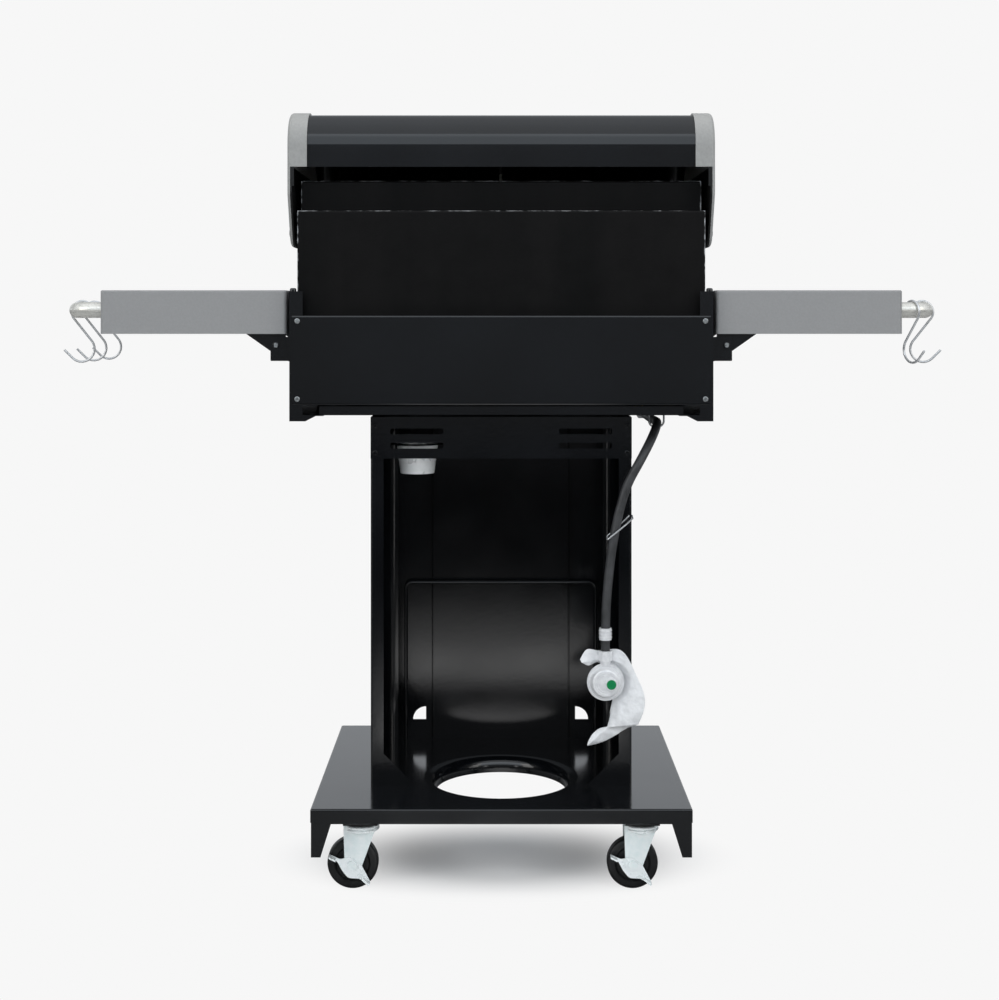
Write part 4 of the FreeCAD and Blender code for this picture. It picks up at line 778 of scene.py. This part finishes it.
floor_mesh = bpy.data.meshes.new("floor")
shape = bmesh.new()
bmesh.ops.create_circle(shape, cap_ends=True, segments=96, radius=floor_radius)
shape.to_mesh(floor_mesh)
shape.free()
floor = bpy.data.objects.new("floor", floor_mesh)
scene.collection.objects.link(floor)
floor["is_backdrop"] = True

paint = bpy.data.materials.new("studio_floor")
paint.use_nodes = True
tree = paint.node_tree
tree.nodes.clear()
place = add(tree, "ShaderNodeTexCoord").outputs["Object"]
from_middle = add(tree, "ShaderNodeVectorMath", {0: place, 1: shadow_middle}, operation="SUBTRACT")
oval = add(tree, "ShaderNodeVectorMath", {0: from_middle.outputs[0], 1: shadow_half}, operation="DIVIDE")
spread = add(tree, "ShaderNodeVectorMath", {0: oval.outputs[0]}, operation="LENGTH")
far = add(tree, "ShaderNodeMapRange", {"Value": spread.outputs["Value"], "From Min": 0.2, "From Max": 1.1},
          interpolation_type="SMOOTHSTEP")
path = add(tree, "ShaderNodeLightPath")
share = add(tree, "ShaderNodeMath", {0: far.outputs["Result"], 1: path.outputs["Is Camera Ray"]},
            operation="MULTIPLY")
# Mirrored rays see the floor in painted reflection shades: mid grey near the grill, darker beyond.
towards = add(tree, "ShaderNodeSeparateXYZ", {0: from_middle.outputs[0]})
beyond = add(tree, "ShaderNodeMapRange", {"Value": towards.outputs["Y"], "From Min": 0.7, "From Max": 1.6})
shades = {0: beyond.outputs["Result"], 6: linear("#868686"), 7: linear("#202020")}
floor_in_reflections = add(tree, "ShaderNodeMix", shades, data_type="RGBA").outputs[2]
shades = {0: path.outputs["Is Glossy Ray"], 6: linear(backdrop), 7: floor_in_reflections}
mirrored = add(tree, "ShaderNodeMix", shades, data_type="RGBA").outputs[2]
matt = add(tree, "ShaderNodeBsdfDiffuse", {"Color": mirrored})
glow = add(tree, "ShaderNodeEmission", {"Color": linear(backdrop)})
mixed = add(tree, "ShaderNodeMixShader", {0: share.outputs[0], 1: matt.outputs[0], 2: glow.outputs[0]})
add(tree, "ShaderNodeOutputMaterial", {"Surface": mixed.outputs[0]})
floor_mesh.materials.append(paint)
print("floor", floor_radius, "m")

# %% World
# What a mirrored ray sees, by its angle in degrees from level on the camera's side, up and over.
mirrored_room = [(0, 0.20), (32, 0.20), (42, 0.95), (70, 0.95), (90, 0.9), (130, 0.4), (152, 0.35),
                 (162, 0.68), (180, 0.70)]
soft_level = 0.55

world = bpy.data.worlds.new("studio")
scene.world = world
world.use_nodes = True
tree = world.node_tree
tree.nodes.clear()
path = add(tree, "ShaderNodeLightPath")
direction = add(tree, "ShaderNodeSeparateXYZ", {0: add(tree, "ShaderNodeTexCoord").outputs["Generated"]})
slope = {0: direction.outputs["Z"], 1: direction.outputs["Y"]}
rise = add(tree, "ShaderNodeMath", slope, operation="ARCTAN2")
turn = add(tree, "ShaderNodeMath", {0: rise.outputs[0], 1: math.pi}, operation="DIVIDE", use_clamp=True)
picture = add(tree, "ShaderNodeFloatCurve", {"Value": turn.outputs[0]})
curve = picture.mapping.curves[0]
picture.mapping.clip_max_y = 2.0
for angle, level in mirrored_room[1:-1]:
    curve.points.new(angle / 180, level)
curve.points[0].location = (0.0, mirrored_room[0][1])
curve.points[-1].location = (1.0, mirrored_room[-1][1])
for point in curve.points:
    point.handle_type = "VECTOR"
picture.mapping.update()
levels = {0: path.outputs["Is Glossy Ray"], 2: soft_level, 3: picture.outputs[0]}
unseen = add(tree, "ShaderNodeMix", levels)
level = add(tree, "ShaderNodeMix", {0: path.outputs["Is Camera Ray"], 2: unseen.outputs[0], 3: 1.0})
shades = {0: path.outputs["Is Camera Ray"], 6: linear("#f4f9ff"), 7: linear(backdrop)}
tint = add(tree, "ShaderNodeMix", shades, data_type="RGBA")
sky = add(tree, "ShaderNodeBackground", {"Color": tint.outputs[2], "Strength": level.outputs[0]})
add(tree, "ShaderNodeOutputWorld", {"Surface": sky.outputs[0]})
print("world with", len(curve.points), "angles")

# %% Lamps


def softbox(name, place, aim, width, height, watts, lights=True, mirrored=False, tint="#ffffff"):
    """A rectangular lamp that lights, is mirrored, or both, and never shows itself to the camera."""
    lamp = bpy.data.lights.new(name, "AREA")
    lamp.shape = "RECTANGLE"
    lamp.size = width
    lamp.size_y = height
    lamp.energy = watts
    lamp.color = linear(tint)[:3]
    lit = bpy.data.objects.new(name, lamp)
    lit.location = place
    lit.rotation_euler = (Vector(aim) - Vector(place)).to_track_quat("-Z", "Y").to_euler()
    lit.visible_camera = False
    lit.visible_diffuse = lights
    lit.visible_glossy = mirrored
    scene.collection.objects.link(lit)
    print(name, watts, "W")


softbox("top_softbox", (0.0, 0.3, 3.2), (0.0, 0.0, 0.8), 3.0, 2.0, 52)
softbox("left_softbox", (2.4, 1.9, 1.7), (0.0, 0.0, 0.7), 1.4, 1.8, 16, mirrored=True, tint="#fffdf9")
softbox("right_softbox", (-2.4, 1.9, 1.7), (0.0, 0.0, 0.7), 1.4, 1.8, 16, mirrored=True, tint="#fffdf9")
softbox("high_softbox", (0.0, 3.2, 2.8), (0.0, 0.0, 2.8), 5.0, 2.4, 44, mirrored=True, tint="#eaf5ff")
for side, name in ((1, "left_strip"), (-1, "right_strip")):
    softbox(name, (side * 0.95, 1.9, 0.45), (0.0, -0.15, 0.45), 0.14, 0.9, 0.7, lights=False, mirrored=True)
floor_cards = (("near_floor_card", 1.05, 1.049, 0.5, 0.35, 0.8),
               ("far_floor_card", 1.5, 1.499, 0.6, 0.55, 0.5),
               ("floor_patch", 0.46, 0.459, 0.36, 0.2, 0.26))
for name, y, aim_y, width, depth, watts in floor_cards:
    softbox(name, (0.0, y, 0.005), (0.0, aim_y, 1.0), width, depth, watts, lights=False, mirrored=True)
scene.view_settings.view_transform = "Standard"

# %% [markdown]
# Last, the script prints the box of the dressed scene, without the floor.

low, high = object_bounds()
print("visual box", [round(v, 3) for v in low], [round(v, 3) for v in high])
